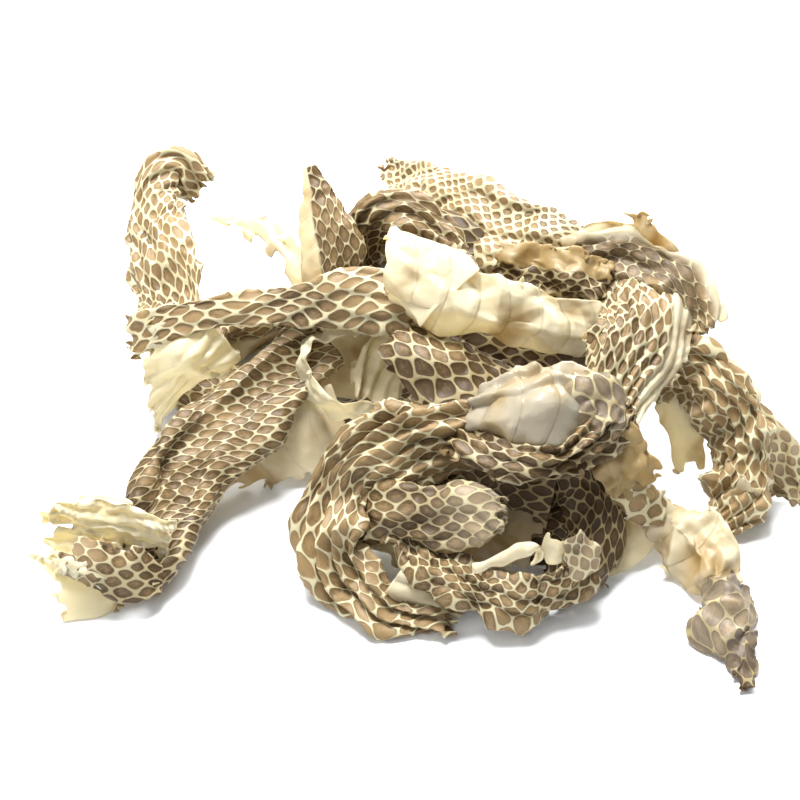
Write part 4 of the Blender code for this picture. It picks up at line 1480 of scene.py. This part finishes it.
@dataclass
class FrontRightPart(SkinPart):
    """The dark wall, the amber tears and the strip that trails to the front right."""

    name: str = "front_right_tail"
    runs: dict[str, Run] = field(default_factory=lambda: {
        # Drawn nearly at full shade: painted shade in the bowl.
        "dark_wall": Run(25, stations(
            (12, -24, 24, 0, 24, 60), (30, -29, 25, 0, 26, 80), (38, -33, 21, 10, 22, 90),
            (39.5, -42, 13, 20, 17, 90), (36, -50, 6, 10, 16, 80), (29, -55, 2, 0, 14, 50)),
            (Crease(0.4, 40),), scale=(4.4, 1.9), shade=0.95, crinkle=2.4),
        # A sheet at full shade: painted shade low in the bowl.
        "bowl_side": Run(46, stations(
            (22, -36, 5, 0, 20, 30), (32, -36, 8, 0, 24, 40), (40, -39, 9, 0, 18, 40)), shade=1.0,
            scale=(4.6, 2.0), ragged=(0, 0, 0, 0)),
        "amber_tears": Run(26, stations(
            (40.1, -25.8, 32, 0, 17, 50), (44.8, -32.4, 30, 0, 18, 50), (48.7, -35.2, 25, 0, 15, 50),
            (51.7, -33.8, 18, 0, 11, 40)), crumple=1.3, torn=(0.0, 4.0), shade=1.0, crinkle=2.6,
            ragged=(0, 6, 3, 3), facet=4.2, pleat=0.8, pleats=4.0, side=Side.BELLY, plates=False),
        "amber_net": Run(55, stations(
            (42.3, -30.8, 21, 0, 5, 40), (46.5, -33.2, 19, 0, 9, 50), (51.9, -34.8, 15, 0, 10, 50),
            (57.5, -34.0, 11, 0, 6, 40)), scale=(5.0, 3.0), shade=0.1, net=0.08, crinkle=1.4, facet=4.0,
            ragged=(1, 1, 1, 1)),
        "right_belly": Run(27, stations(
            (58.3, -30.2, 12, 10, 9, 40), (51.8, -36.4, 8, 10, 10.5, 40), (46.2, -40.6, 4.5, 10, 10, 40),
            (41.1, -44.7, 1.5, 0, 7, 30)), torn=(0.0, 2.0), side=Side.BELLY, shade=0.2,
            ragged=(0, 1.5, 0.5, 0.5), plates=False),
        "tail_strip": Run(28, stations(
            (55, -31, 12, 0, 13, 40), (59, -39, 12, 0, 20, 50), (64, -46, 10.5, 0, 21, 50),
            (68, -54.5, 8.5, 0, 17, 60)), (Crease(0.5, 40),), 0.9, (0.0, 1.5), side=Side.BELLY, shade=0.45,
            crinkle=2.6, ragged=(0, 0, 1.5, 1.5), pearl=0.2, pleat=0.6, pleats=8.0, facet=5.0),
        "tail_cells": Run(50, stations(
            (70.3, -54.9, 8.5, 0, 15, 60), (69.7, -61.1, 7, 0, 20, 70), (68.5, -67.8, 5.5, 0, 20, 70),
            (71.6, -73.3, 3.5, 0, 9, 50), (71.7, -80.8, 1.2, 0, 5, 20)), (Crease(0.5, 40),), 0.9,
            (3.0, 1.0), scale=(5.8, 2.9), pearl=0.34, shade=0.55, crinkle=2.8, ragged=(1, 1, 1, 1),
            tip=(0.9, 0.0), net=-0.08, facet=6.0),
    })


@dataclass
class UnderPart(SkinPart):
    """What lies behind and below: the loop on the floor and the runs under the heap."""

    name: str = "floor_runs"
    grid: float = 0.95
    runs: dict[str, Run] = field(default_factory=lambda: {
        "back_loop": Run(31, stations(
            (-65, 20, 24, -60, 30, 40), (-62, 34, 13, -80, 42, 40), (-46, 48, 9, -90, 46, 50),
            (-24, 56, 10, -90, 48, 20), (2, 62, 12, -90, 50, 0), (30, 54, 10, -90, 48, 30),
            (50, 38, 12, -90, 44, 50), (52, 16, 28, -70, 38, 50)), TUBE, 1.3, scale=(6.0, 2.3), shade=0.45,
            pleat=0.6, pleats=6.5, scutes=(0.13, 0.13)),
        "low_run": Run(32, stations(
            (-60, 14, 15, -20, 18, 60), (-52, 16, 6, -45, 28, 50), (-30, 20, 2.5, -50, 32, 40),
            (-5, 22, 2.5, -50, 32, 40), (20, 8, 4, -50, 32, 50), (32, -10, 12, -40, 30, 70),
            (22, -25, 24, 0, 26, 70)), (Crease(0.6, 25),), 0.8, scale=(6.0, 2.3), shade=0.6),
        "middle_prop": Run(33, stations(
            (-2, 24, 4, 0, 18, 60), (2, 18, 22, 0, 22, 80), (6, 15, 40, 0, 20, 80)), crumple=0.9,
            side=Side.BELLY, shade=0.4),
    })


PARTS: tuple[type[SkinPart], ...] = (
    LeftPart, MiddlePart, BackTopPart, RightPart, FrontPart, FrontRightPart, UnderPart)


@dataclass(frozen=True)
class Studio:
    """A plain pale floor, soft light all round and the camera.

    Args:
        elevation: degrees above the horizon.
        distance: metres from the heap.
        aim: the point the camera looks at.
        lens: focal length, mm.
    """

    elevation: float = 40.0
    distance: float = 0.48
    aim: tuple[float, float, float] = (-0.0097, -0.001, 0.018)
    lens: float = 86.4

    @staticmethod
    def floor() -> None:
        """Lay the floor."""
        bpy.ops.mesh.primitive_plane_add(size=6.0, location=(0, 0, -0.0002))
        floor = bpy.context.object
        floor.name = "Floor"
        material = bpy.data.materials.new("Matt white board")
        material.use_nodes = True
        shader = material.node_tree.nodes["Principled BSDF"]
        shader.inputs["Base Color"].default_value = linear("#F4F6F8")
        shader.inputs["Roughness"].default_value = 0.6
        floor.data.materials.append(material)

    @staticmethod
    def lights() -> None:
        """Light the heap from above, behind and the front left."""
        world = bpy.data.worlds.new("Studio")
        bpy.context.scene.world = world
        world.use_nodes = True
        world.node_tree.nodes["Background"].inputs["Color"].default_value = linear("#F6F8FB")
        world.node_tree.nodes["Background"].inputs["Strength"].default_value = 0.42
        for name, place, size, power in (
                ("Top", (-0.10, 0.20, 0.75), 0.35, 15.0),
                ("Back", (0.30, 0.70, 0.50), 0.45, 12.0),
                ("Fill", (-0.45, -0.50, 0.45), 0.6, 1.9)):
            light = bpy.data.lights.new(name, "AREA")
            light.size = size
            light.energy = power
            lamp = bpy.data.objects.new(name, light)
            lamp.location = place
            lamp.rotation_euler = Vector(place).to_track_quat("Z", "Y").to_euler()
            bpy.context.scene.collection.objects.link(lamp)

    def camera(self) -> None:
        """Look at the heap from the front, from above."""
        turn = math.radians(self.elevation)
        aim = Vector(self.aim)
        data = bpy.data.cameras.new("Camera")
        data.lens = self.lens
        data.clip_start = 0.01
        camera = bpy.data.objects.new("Camera", data)
        camera.location = aim + Vector((0, -math.cos(turn), math.sin(turn))) * self.distance
        camera.rotation_euler = (math.radians(90) - turn, 0, 0)
        bpy.context.scene.collection.objects.link(camera)
        bpy.context.scene.camera = camera

    def build(self) -> None:
        """Set up floor, lights and camera."""
        bpy.context.scene.view_settings.view_transform = "Standard"
        self.floor()
        self.lights()
        self.camera()


def main() -> None:
    """Build the heap part by part, then the studio."""
    logging.basicConfig(level=logging.INFO, format="%(message)s")
    growths = (ScaleRelief(), TornScales())
    outfit = Outfit(DryKeratinFilm().build(), tuple((growth.tree(), growth.sizes()) for growth in growths))
    for seed, kind in enumerate(PARTS):
        part = kind()
        piece = part.build()
        part.dress(piece, outfit, seed)
        LOG.info("%s: %d runs, %d faces", part.name, len(part.runs), len(piece.data.polygons))
    Studio().build()


if __name__ == "__main__":
    main()
